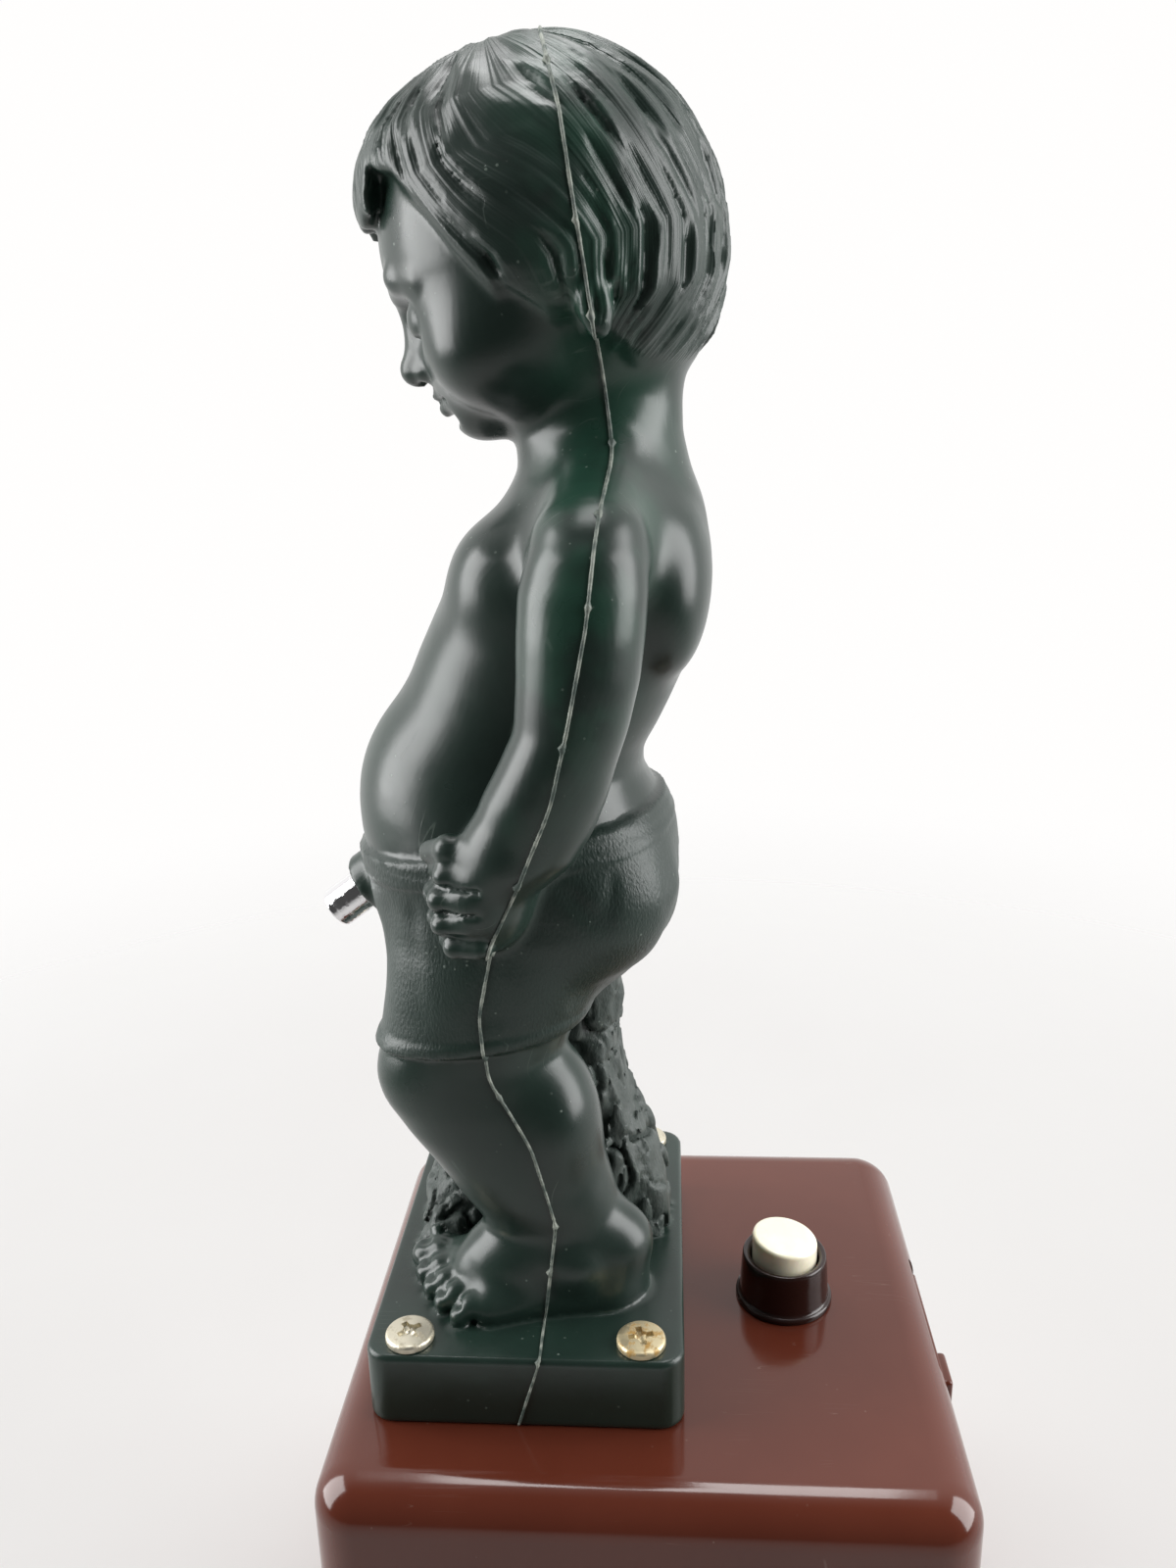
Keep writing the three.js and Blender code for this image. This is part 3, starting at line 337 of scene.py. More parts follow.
def hair_relief(x, y, z, d):
    """Low locks with long strokes cut between them; each stroke has a ridge along one side."""
    hx, f, u = head_frame(x, y, z)
    inside = ramp(u - hair_line(f), 0, 3.5) * ramp(4.5 - np.abs(d), 0, 2) * ramp(z, 141, 150)
    out = np.zeros(inside.shape, np.float32)
    at = np.nonzero(inside > 0.01)
    px, py, pz = x.ravel()[at[0]], y.ravel()[at[1]], z.ravel()[at[2]]
    turn, way = comb(px, py, pz)
    round_mm = 24 * np.clip(np.sin(np.minimum(way / 24, 1.9)), 0.25, 1)
    c, s = np.cos(turn), np.sin(turn)
    locks = noise(c * 6.2 + 3, s * 6.2 + 9, way / 15) * 0.6 + noise(c * 11.5 + 1, s * 11.5 + 4, way / 10) * 0.4
    fine = noise(c * 26 + 5, s * 26 + 5, way / 14)
    relief = 1.9 * (locks - 0.5) + 0.35 * (fine - 0.5)
    for strokes, depth in ((dashes(21, 7.0, 6.0, (3.2, 6.5), (0.45, 0.8)), 1.25), (dashes(22, 5.5, 5.0, (2.0, 4.5), (0.3, 0.5)), 0.7)):
        for t, w, half_length, half_width, strength in strokes:
            near = np.nonzero(np.abs(way - w) < half_length + 1.5)[0]
            off = np.mod(turn[near] - t + math.pi, math.tau) - math.pi
            across = off * round_mm[near]
            close = np.abs(across) < 3.5
            near, across = near[close], across[close]
            along = (way[near] - w) / half_length
            taper = np.clip(1.15 - along ** 2, 0, 1)
            groove = np.exp(-((across / (half_width * np.maximum(taper, 0.3))) ** 2))
            side = np.exp(-(((across - 2.2 * half_width) / (1.5 * half_width)) ** 2))
            relief[near] += depth * strength * taper * (0.45 * side - groove)
    out[at] = relief
    return 0.66 * inside * out * ramp(np.hypot(hx, f) + 0 * u, 1.5, 7.0)


def add_hair(g):
    cap = head_ellipsoid(0, 0.6, 0.2, SKULL[0] + 1.3, SKULL[1] + 1.5, SKULL[2] + 1.1)
    fringe = head_ellipsoid(0, 10.2, 11.8, 17, 14.6, 10.2)
    nape = head_ellipsoid(0, -9.5, -7.6, 19.6, 13.3, 16)

    def hair(x, y, z):
        hx, f, u = head_frame(x, y, z)
        turn, way = comb(x, y, z)
        c, s = np.cos(turn), np.sin(turn)
        tips = 3.4 * np.abs(2 * noise(c * 8 + 2, s * 8 + 17, 0.5 + 0 * u) - 1)
        edge = (hair_line(f) + tips - 2.5 - u) * 0.75
        all_over = smin(smin(cap[0](x, y, z), nape[0](x, y, z), 4), fringe[0](x, y, z), 4)
        return -smin(-all_over, -edge, 1.6)

    g.add((hair, cap[1] - 4, cap[2] + 4), 1.6, 4)
    g.swell(hair_relief, (-30, -46, 138), (30, 16, 199))


def add_ear(g, s):
    c = np.array([s * 21.0, -5.0, 158.2])
    out = np.array([s * 0.93, 0.36, 0.0])
    out /= np.linalg.norm(out)
    up = np.array([s * 0.26, -0.12, 0.96])
    up -= out * (up @ out)
    up /= np.linalg.norm(up)
    along = np.cross(up, out)
    g.add(ellipsoid(c, (1.9, 2.4, 3.5), (out, along, up)), 1.4, 4)
    g.cut(ellipsoid(c + out * 1.9 + up * 0.5 - along * 0.3, (1.1, 1.2, 2.0), (out, along, up)), 0.8)
    g.add(ellipsoid(c + out * 0.8 + along * 0.5, (0.8, 0.6, 1.1), (out, along, up)), 0.6, 3)
    g.add(ellipsoid(c - up * 2.7 - out * 0.2, (1.3, 1.3, 1.2), (out, along, up)), 0.9, 3)


def add_hand(g, s):
    """A fist held against the hip."""
    def at(x, y, z):
        return (s * x, y, z)
    g.add(cone(at(27, -19.5, 83), at(26.8, -22.5, 78), 6.6, 6.4), 3, 6)
    g.add(ellipsoid(at(26, -23, 76), (6, 6.4, 8)), 2.4, 6)
    for z, y, r in ((81.6, -29.2, 1.9), (77.9, -30.1, 2.05), (74, -29.8, 2.0), (70.4, -28.4, 1.8)):
        g.add(cone(at(30.4, y + 5.4, z), at(29.2, y + 1.4, z - 0.3), r, r), 0.6, 3)
        g.add(cone(at(29.2, y + 1.4, z - 0.3), at(24.6, y - 0.2, z - 1), r, r * 0.94), 0.6, 3)
        g.add(cone(at(24.6, y - 0.2, z - 1), at(21.4, y + 3, z - 1.4), r * 0.94, r * 0.86), 0.6, 3)
    g.add(cone(at(29.6, -21, 83.6), at(28.2, -27.4, 85), 2.5, 2.1), 1.4, 3)
    g.add(cone(at(28.2, -27.4, 85), at(24.4, -30.8, 83.2), 2.1, 1.8), 0.8, 3)
    for z in (79.8, 76, 72.2):
        g.cut(cone(at(30, -29, z), at(33.2, -22.6, z + 0.4), 0.35, 0.25), 0.9, 2)


def add_foot(g, s):
    def at(x, y, z):
        return (s * x, y, z)
    g.add(cone(at(14.8, -6.4, 4.6), at(14.6, -4.6, 9), 6, 6), 4, 5)
    g.add(cone(at(14.6, -13, 9), at(17.2, -28.4, 3.6), 7.4, 4.6), 4, 5)
    g.add(cone(at(14.4, -9, 3), at(12.8, -31, 2.8), 5, 4.2), 3, 5)
    g.add(cone(at(16.4, -8, 2.6), at(23, -25.6, 2), 5, 3.8), 3, 5)
    g.add(ellipsoid(at(16.2, -21, 8.6), (6.6, 9, 4.6)), 5, 5)
    g.add(ellipsoid(at(7.8, -13, 9.4), (2.4, 3.4, 3.2)), 3, 4)
    g.add(ellipsoid(at(21.6, -11.4, 8.4), (2.2, 3.2, 3.2)), 3, 4)
    toes = [
        (11.4, -32, 10.8, -38.8, 2.7), (15.2, -31.6, 14.9, -38.0, 2.05), (18.5, -30.4, 18.6, -36.2, 1.95),
        (21.6, -28.6, 22, -33.8, 1.85), (24.4, -26, 25.2, -30.6, 1.8),
    ]
    for x0, y0, x1, y1, r in toes:
        g.add(cone(at(x0, y0, 2.9), at((x0 + x1) / 2, (y0 + y1) / 2 - 0.6, 3.1), r * 0.95, r * 0.95), 1.2, 3)
        g.add(cone(at((x0 + x1) / 2, (y0 + y1) / 2 - 0.6, 3.1), at(x1, y1, r * 0.8), r * 0.95, r * 1.02), 0.8, 3)
        g.cut(ellipsoid(at(x1, y1 - r * 0.3, r * 1.95), (r * 0.6, r * 0.7, r * 0.35)), 0.3, 2)


def waist(y):
    return 82.5 + (y + 20) * 0.16


def hem(y):
    return 49.0 + (y + 25) * 0.12


def trunks(x, y, z, d):
    """Swimming trunks in low relief, with a waistband, hems and a few folds."""
    w, h = waist(y), hem(y)
    inside = ramp(w - z, -0.35, 0.35) * ramp(z - h, -0.35, 0.35) * ramp(33 - np.abs(x), 0, 2)
    band = ramp(w - z, -0.35, 0.35) * ramp(z - (w - 4.6), -0.4, 0.4)
    rib = np.sin(z * 3.6) * 0.05 * band
    cuff = ramp(z - h, -0.35, 0.35) * ramp(h + 2.4 - z, -0.3, 0.5)
    folds = noise(x * 0.10 + 5, y * 0.13 + 3, z * 0.05 + (x + y) * 0.05)
    folds = np.abs(2 * folds - 1)
    folds = 0.32 * np.exp(-((folds / 0.2) ** 2)) * ramp(w - 5 - z, 0, 4) * ramp(z - h - 3, 0, 4)
    fade = ramp(5 - np.abs(d), 0, 3)
    return fade * (inside * (0.85 - folds) + 0.4 * band + rib + 0.35 * cuff)


def crags(x, y, z, d):
    """Bark-like plates on the rock, with cracks between them."""
    wobble = 1.2 * noise(x * 0.22, y * 0.22, z * 0.22)
    a = noise(x * 0.20 + 2 + wobble * 0.3, y * 0.20 + wobble, z * 0.085 + 7)
    b = noise(x * 0.40 + 9, y * 0.40 + 4, z * 0.2 + wobble)
    crack = np.exp(-((np.abs(2 * a - 1) / 0.10) ** 2)) * 1.5 + np.exp(-((np.abs(2 * b - 1) / 0.12) ** 2)) * 0.8
    return 0.2 + 1.5 * (a - 0.5) + 1.5 * (b - 0.5) - crack


def rock_field(g):
    stump = column(ROCK, 1, 2.4, 4)
    mound = ellipsoid((-8, -34.5, 0), (15.5, 7.6, 11.5))
    mound2 = ellipsoid((5, -36.5, 0), (7, 5, 7))

    def fn(x, y, z):
        d = np.minimum(stump[0](x, y, z), smin(mound[0](x, y, z), mound2[0](x, y, z), 3))
        return (d - crags(x, y, z, d)) * 0.8

    return fn, (-25, -43, -2), (12, 8, 61)


def plinth_field():
    half = (33.5, 26.0)

    def fn(x, y, z):
        qx, qy = np.abs(x) - (half[0] - 4), np.abs(y - PLINTH_Y) - (half[1] - 4)
        flat = np.hypot(np.maximum(qx, 0), np.maximum(qy, 0)) + np.minimum(np.maximum(qx, qy), 0) - 4
        tall = np.abs(z + 6.6) - 6.6
        e = 0.8
        a, b = flat + e, tall + e
        return np.minimum(np.maximum(a, b), 0) + np.hypot(np.maximum(a, 0), np.maximum(b, 0)) - e

    return fn, (-33.5, -45.4, -13.2), (33.5, 6.6, 0)


SPOUT = np.array([0, -46.8, 68.4])
SPOUT_DIR = np.array([0, -math.cos(math.radians(36)), -math.sin(math.radians(36))])


def disc(p, axis, r, back, front, edge=0.5):
    """A cylinder along axis, from back to front, with a round edge."""
    def fn(x, y, z):
        dx, dy, dz = x - p[0], y - p[1], z - p[2]
        t = dx * axis[0] + dy * axis[1] + dz * axis[2]
        away = np.sqrt(np.maximum(dx ** 2 + dy ** 2 + dz ** 2 - t ** 2, 0))
        a, b = away - r + edge, np.maximum(back - t, t - front) + edge
        return np.minimum(np.maximum(a, b), 0) + np.hypot(np.maximum(a, 0), np.maximum(b, 0)) - edge

    ends = np.array([p + axis * back, p + axis * front])
    return fn, ends.min(0) - r, ends.max(0) + r


def build_field():
    g = Field((-38.5, -53.5, -14.6), (38.5, 15.5, 198.5), STEP)
    g.add(column(TORSO, 1, 2.15, 6))
    g.add(ellipsoid((0, -30, 87), (15, 14.6, 15)), 6)  # belly
    for s in (-1, 1):
        g.add(ellipsoid((s * 10.4, -20.8, 122), (9, 6.4, 7.4)), 6)  # chest
        g.add(ellipsoid((s * 11.5, 4.6, 119), (8, 5.4, 11)), 5)  # shoulder blade
        g.add(cone((s * 7, -4.6, 137), (s * 24, -6.2, 127.4), 6.6, 7.8), 6)
        g.add(ellipsoid((s * 11.4, -8.4, 72), (11.4, 12.8, 12.4)), 5)  # seat
    g.cut(cone((0, 13.6, 128), (0, 4.2, 95), 1.3, 1.5), 5, 6)  # spine
    for s in (-1, 1):
        g.add(column(LEG, s, 2.1, 5), 2.6)
        g.add(ellipsoid((s * 12.8, -36.4, 41.5), (7.4, 6.8, 7)), 4, 6)  # knee
        g.add(ellipsoid((s * 14.4, -14.6, 33), (8.6, 6.6, 11)), 4, 6)  # calf
    g.cut(cone((0, 2.6, 53), (0, -43.6, 55), 2.1, 1.2), 3, 6)
    g.swell(trunks, (-38, -53, 42), (38, 12, 92))
    for s in (-1, 1):
        g.add(column(ARM, s, 2.0, 4), 2.2)
        add_hand(g, s)
        add_foot(g, s)
    add_head(g)
    add_hair(g)
    for s in (-1, 1):
        add_ear(g, s)
    g.add(disc(SPOUT, SPOUT_DIR, 5.7, -9, 0, 0.45), 1.0)
    g.add(rock_field(g), 0.8, 4)
    g.add(plinth_field(), 0.9)
    g.cut(disc(SPOUT, SPOUT_DIR, 3.8, -4, 12, 0.2), 0.0, 2)
    for x in (-29, 29):
        for y in (PLINTH_Y - 19, PLINTH_Y + 19):
            g.cut(disc(np.array([x, y, 0.0]), np.array([0, 0, 1.0]), 2.5, -16, 6, 0.1), 0.0, 2)
    return g


def mesh_of(g):
    """The field's surface as points in row-frame mm, and four-sided faces."""
    grid = openvdb.FloatGrid(background=3.0 * g.step)
    values = np.clip(g.d, -3 * g.step, 3 * g.step)
    values[0], values[-1], values[:, 0], values[:, -1], values[:, :, 0], values[:, :, -1] = [3 * g.step] * 6
    grid.copyFromArray(np.ascontiguousarray(values))
    points, quads = grid.convertToQuads(isovalue=0.0)
    points = points * g.step + g.low
    return points, quads


def seam_at(z):
    return np.interp(z, SEAM_Z, SEAM_Y)


def link(name, mesh, material, smooth=True):
    obj = bpy.data.objects.new(name, mesh)
    bpy.context.scene.collection.objects.link(obj)
    if material:
        mesh.materials.append(material)
    if smooth:
        mesh.polygons.foreach_set("use_smooth", [True] * len(mesh.polygons))
    return obj


def mesh_from(name, points, faces):
    mesh = bpy.data.meshes.new(name)
    mesh.from_pydata([tuple(map(float, p)) for p in points], [], [tuple(map(int, f)) for f in faces])
    mesh.update()
    return mesh


def loft(rings, closed_ends=True):
    n = len(rings[0])
    points = [p for ring in rings for p in ring]
    faces = []
    for r in range(len(rings) - 1):
        for j in range(n):
            k = (j + 1) % n
            faces.append((r * n + j, r * n + k, (r + 1) * n + k, (r + 1) * n + j))
    if closed_ends:
        faces.append(tuple(range(n - 1, -1, -1)))
        faces.append(tuple((len(rings) - 1) * n + j for j in range(n)))
    return points, faces


# ---------------------------------------------------------------- materials

class Look:
    """A procedural material: a Principled shader and the nodes that drive it."""

    def __init__(self, name):
        self.m = bpy.data.materials.new(name)
        self.m.use_nodes = True
        self.t = self.m.node_tree
        self.bsdf = self.t.nodes["Principled BSDF"]
        self.coords = self.node("ShaderNodeTexCoord").outputs["Object"]

    def node(self, kind, **values):
        n = self.t.nodes.new(kind)
        for key, v in values.items():
            if key in n.inputs:
                n.inputs[key].default_value = v
            else:
                setattr(n, key, v)
        return n

    def join(self, out, to):
        self.t.links.new(out, to)

    def set(self, **values):
        for key, v in values.items():
            self.bsdf.inputs[key.replace("_", " ")].default_value = v

    def noise(self, scale, detail=3.0, rough=0.5, stretch=(1, 1, 1), distortion=0.0):
        src = self.coords
        if stretch != (1, 1, 1):
            mp = self.node("ShaderNodeMapping")
            mp.inputs["Scale"].default_value = stretch
            self.join(src, mp.inputs["Vector"])
            src = mp.outputs["Vector"]
        n = self.node("ShaderNodeTexNoise", Scale=scale, Detail=detail, Roughness=rough, Distortion=distortion)
        self.join(src, n.inputs["Vector"])
        return n.outputs["Fac"]

    def specks(self, scale, size):
        """1 in small round spots, 0 elsewhere."""
        v = self.node("ShaderNodeTexVoronoi", Scale=scale)
        self.join(self.coords, v.inputs["Vector"])
        return self.curve(v.outputs["Distance"], size, size * 0.6)

    def curve(self, value, low, high, to_low=0.0, to_high=1.0):
        r = self.node("ShaderNodeMapRange", clamp=True, interpolation_type="SMOOTHSTEP")
        r.inputs["From Min"].default_value, r.inputs["From Max"].default_value = low, high
        r.inputs["To Min"].default_value, r.inputs["To Max"].default_value = to_low, to_high
        self.join(value, r.inputs["Value"])
        return r.outputs["Result"]

    def math(self, op, a, b):
        n = self.node("ShaderNodeMath", operation=op)
        for socket, v in zip(n.inputs, (a, b)):
            if isinstance(v, (int, float)):
                socket.default_value = v
            else:
                self.join(v, socket)
        return n.outputs[0]

    def mix(self, fac, a, b):
        n = self.node("ShaderNodeMix", data_type="RGBA")
        for key, v in (("Factor_Float", fac), ("A_Color", a), ("B_Color", b)):
            socket = next(s for s in n.inputs if s.identifier == key)
            if isinstance(v, tuple):
                socket.default_value = (*v, 1.0)
            elif isinstance(v, (int, float)):
                socket.default_value = v
            else:
                self.join(v, socket)
        return next(s for s in n.outputs if s.identifier == "Result_Color")

    def colour(self, c):
        self.join(c, self.bsdf.inputs["Base Color"])

    def rough(self, v):
        self.join(v, self.bsdf.inputs["Roughness"])

    def bump(self, *layers):
        """layers are (height, distance in mm)."""
        normal = None
        for height, distance in layers:
            n = self.node("ShaderNodeBump", Distance=distance * MM, Strength=1.0)
            self.join(height, n.inputs["Height"])
            if normal is not None:
                self.join(normal, n.inputs["Normal"])
            normal = n.outputs["Normal"]
        self.join(normal, self.bsdf.inputs["Normal"])

    def attribute(self, name):
        return self.node("ShaderNodeAttribute", attribute_name=name).outputs["Fac"]


def scratches(look, angle, scale, width=0.012, keep=0.62):
    """Fine straight lines here and there."""
    mp = look.node("ShaderNodeMapping")
    mp.inputs["Rotation"].default_value = angle
    mp.inputs["Scale"].default_value = (scale, scale * 0.03, scale * 0.03)
    look.join(look.coords, mp.inputs["Vector"])
    n = look.node("ShaderNodeTexNoise", Scale=1.0, Detail=0.0)
    look.join(mp.outputs["Vector"], n.inputs["Vector"])
    away = look.math("ABSOLUTE", look.math("SUBTRACT", n.outputs["Fac"], 0.5), 0)
    line = look.curve(away, width, width * 0.3)
    patch = look.curve(look.noise(40 + scale * 0.05, 2), keep, keep + 0.06)
    return look.math("MULTIPLY", line, patch)


def figure_material():
    k = Look("figure_plastic")
    tone = k.noise(38, 4, 0.6)
    near = k.attribute("seam_near")
    base = k.mix(k.curve(tone, 0.35, 0.72), (0.0100, 0.0205, 0.0160), (0.0130, 0.0285, 0.0215))
    worn = k.math("MULTIPLY", k.curve(k.noise(75, 3), 0.40, 0.62), k.curve(near, 0.05, 0.9))
    green = k.mix(k.math("MULTIPLY", worn, 0.8), base, (0.0130, 0.047, 0.0300))
    rock = k.attribute("rock")
    worn_rock = k.math("MULTIPLY", rock, k.curve(k.noise(150, 4, 0.65), 0.30, 0.70, 0.35, 1.0))
    green = k.mix(worn_rock, green, (0.052, 0.064, 0.058))
    cloth = k.attribute("cloth")
    green = k.mix(k.math("MULTIPLY", cloth, 0.4), green, (0.012, 0.026, 0.0205))
    dust = k.math("MULTIPLY", k.specks(520, 0.13), k.curve(k.noise(95, 2), 0.52, 0.66))
    scars = k.math("MAXIMUM", scratches(k, (0.3, 0.9, 0.5), 900), scratches(k, (1.2, 0.2, 1.4), 700))
    marks = k.math("MULTIPLY", k.math("MAXIMUM", dust, k.math("MULTIPLY", scars, 0.35)), 0.55)
    k.colour(k.mix(marks, green, (0.16, 0.20, 0.17)))
    rough = k.curve(k.noise(60, 4, 0.6), 0.3, 0.75, 0.27, 0.35)
    rough = k.math("ADD", rough, k.math("MULTIPLY", cloth, 0.12))
    rough = k.math("ADD", rough, k.math("MULTIPLY", rock, 0.2))
    rough = k.math("ADD", rough, k.math("MULTIPLY", k.attribute("hair"), 0.08))
    k.rough(rough)
    weave = k.math("MULTIPLY", k.noise(2600, 1, 0.4, (1, 1, 0.5)), cloth)
    stone = k.math("MULTIPLY", k.noise(420, 4, 0.7, (1, 1, 0.5)), rock)
    wave = k.node("ShaderNodeTexNoise", Scale=1.0, Detail=2.0)
    wave.noise_dimensions = "1D"
    k.join(k.math("MULTIPLY", k.attribute("strand"), 1100.0), wave.inputs["W"])
    strand = k.math("MULTIPLY", wave.outputs["Fac"], k.attribute("hair"))
    k.bump((k.noise(230, 3), 0.05), (stone, 0.4), (weave, 0.08), (strand, 0.18), (marks, 0.03))
    k.set(Specular_IOR_Level=0.5)
    return k.m


def flash_material():
    k = Look("seam_flash")
    k.colour(k.mix(k.curve(k.noise(420, 3), 0.35, 0.7), (0.045, 0.065, 0.055), (0.26, 0.28, 0.24)))
    k.rough(k.curve(k.noise(300, 2), 0.3, 0.7, 0.45, 0.7))
    k.bump((k.noise(900, 2), 0.15))
    return k.m


def brown_material(name, dark, light, rough=(0.10, 0.17), scars=0.2):
    k = Look(name)
    base = k.mix(k.curve(k.noise(22, 4, 0.6), 0.3, 0.75), dark, light)
    fine = k.math("MAXIMUM", scratches(k, (0.2, 0.1, 0.7), 900, 0.005, 0.60), scratches(k, (0.9, 0.6, 1.9), 800, 0.005, 0.62))
    dust = k.math("MULTIPLY", k.specks(420, 0.10), k.curve(k.noise(70, 2), 0.54, 0.66))
    marks = k.math("MULTIPLY", k.math("MAXIMUM", fine, dust), scars)
    k.colour(k.mix(marks, base, (0.26, 0.19, 0.16)))
    r = k.curve(k.noise(45, 4, 0.65), 0.3, 0.75, *rough)
    k.rough(k.math("ADD", r, k.math("MULTIPLY", marks, 0.3)))
    k.bump((k.noise(40, 2), 0.10), (k.noise(1500, 2), 0.003), (marks, 0.01))
    k.set(Specular_IOR_Level=0.42, Coat_Weight=0.12, Coat_Roughness=0.06)
    return k.m


def ivory_material():
    k = Look("ivory_plastic")
    k.colour(k.mix(k.curve(k.noise(160, 4), 0.35, 0.75), (0.86, 0.80, 0.60), (0.90, 0.86, 0.70)))
    k.rough(k.curve(k.noise(240, 3), 0.3, 0.7, 0.16, 0.3))
    k.bump((k.noise(300, 2), 0.03), (scratches(k, (0.1, 0.4, 0.6), 900), 0.02))
    k.set(Subsurface_Weight=0.15, Subsurface_Radius=(0.002, 0.0015, 0.0008), Subsurface_Scale=1.0, Coat_Weight=0.3)
    return k.m


def metal_material(name, colour, dull, rough=(0.2, 0.42), grime=0.5, grain=(1, 1, 1)):
    k = Look(name)
    spots = k.curve(k.noise(620, 4, 0.6), 0.5, 0.68)
    k.colour(k.mix(k.math("MULTIPLY", spots, grime), colour, dull))
    k.rough(k.math("ADD", k.curve(k.noise(260, 4, 0.6, grain), 0.3, 0.7, *rough), k.math("MULTIPLY", spots, 0.25 * grime)))
    k.join(k.math("SUBTRACT", 1.0, k.math("MULTIPLY", spots, grime * 0.7)), k.bsdf.inputs["Metallic"])
    k.bump((k.noise(1400, 3, 0.6, grain), 0.02), (spots, 0.03))
    return k.m


def plastic_material(name, dark, light, rough=(0.35, 0.55), alpha=None, through=0.0):
    k = Look(name)
    k.colour(k.mix(k.curve(k.noise(90, 4, 0.6), 0.3, 0.75), dark, light))
    k.rough(k.curve(k.noise(200, 3), 0.3, 0.7, *rough))
    k.bump((k.noise(700, 3), 0.03))
    if through:
        k.set(Transmission_Weight=through, IOR=1.5)
    if alpha:
        k.set(Alpha=alpha)
    return k.m


def floor_material():
    """A pale floor that fades away into the white surroundings."""
    k = Look("floor_paint")
    k.colour(k.mix(k.curve(k.noise(6, 4, 0.5), 0.2, 0.8), (0.84, 0.825, 0.815), (0.87, 0.86, 0.85)))
    k.rough(k.curve(k.noise(30, 3), 0.3, 0.7, 0.6, 0.7))
    k.bump((k.noise(300, 3), 0.02))
    far = k.node("ShaderNodeVectorMath", operation="LENGTH")
    k.join(k.coords, far.inputs[0])
    clear = k.node("ShaderNodeBsdfTransparent")
    both = k.node("ShaderNodeMixShader")
    k.join(k.curve(far.outputs["Value"], 0.12, 0.55), both.inputs[0])
    k.join(k.bsdf.outputs[0], both.inputs[1])
    k.join(clear.outputs[0], both.inputs[2])
    k.join(both.outputs[0], k.t.nodes["Material Output"].inputs["Surface"])
    return k.m


FIGURE = figure_material()
FLASH = flash_material()
BROWN = brown_material("brown_gloss_plastic", (0.076, 0.0172, 0.0092), (0.092, 0.0220, 0.0120))
DARK = brown_material("dark_brown_plastic", (0.016, 0.0062, 0.0048), (0.024, 0.0086, 0.0064), (0.16, 0.26), 0.15)
IVORY = ivory_material()
CHROME = metal_material("chrome_plating", (0.82, 0.82, 0.83), (0.5, 0.5, 0.5), (0.03, 0.08), 0.06)
NICKEL = metal_material("nickel_plating", (0.62, 0.58, 0.47), (0.24, 0.20, 0.12), (0.34, 0.5), 0.6)
NICKEL_OLD = metal_material("corroded_nickel", (0.60, 0.52, 0.34), (0.34, 0.19, 0.035), (0.4, 0.6), 0.9)
STEEL = metal_material("spring_steel_wire", (0.62, 0.62, 0.63), (0.4, 0.39, 0.37), (0.16, 0.32), 0.25)
BRASS = metal_material("contact_brass", (0.72, 0.52, 0.24), (0.42, 0.28, 0.12), (0.2, 0.38), 0.3)
RUBBER = plastic_material("black_rubber", (0.012, 0.012, 0.012), (0.022, 0.021, 0.02), (0.7, 0.85))
WHITE = plastic_material("white_moulding", (0.72, 0.71, 0.66), (0.79, 0.78, 0.74))
BLACK = plastic_material("black_moulding", (0.012, 0.012, 0.013), (0.024, 0.024, 0.026))
MILKY = plastic_material("milky_polythene", (0.70, 0.74, 0.73), (0.78, 0.81, 0.80), (0.25, 0.4), None, 0.55)
CELL = plastic_material("cell_sleeve", (0.20, 0.026, 0.020), (0.26, 0.036, 0.026), (0.22, 0.34))
RED = plastic_material("red_insulation", (0.38, 0.018, 0.018), (0.46, 0.03, 0.028))
BLUE = plastic_material("blue_insulation", (0.02, 0.05, 0.26), (0.03, 0.07, 0.34))


# ---------------------------------------------------------------- making the figure's two halves and its flash

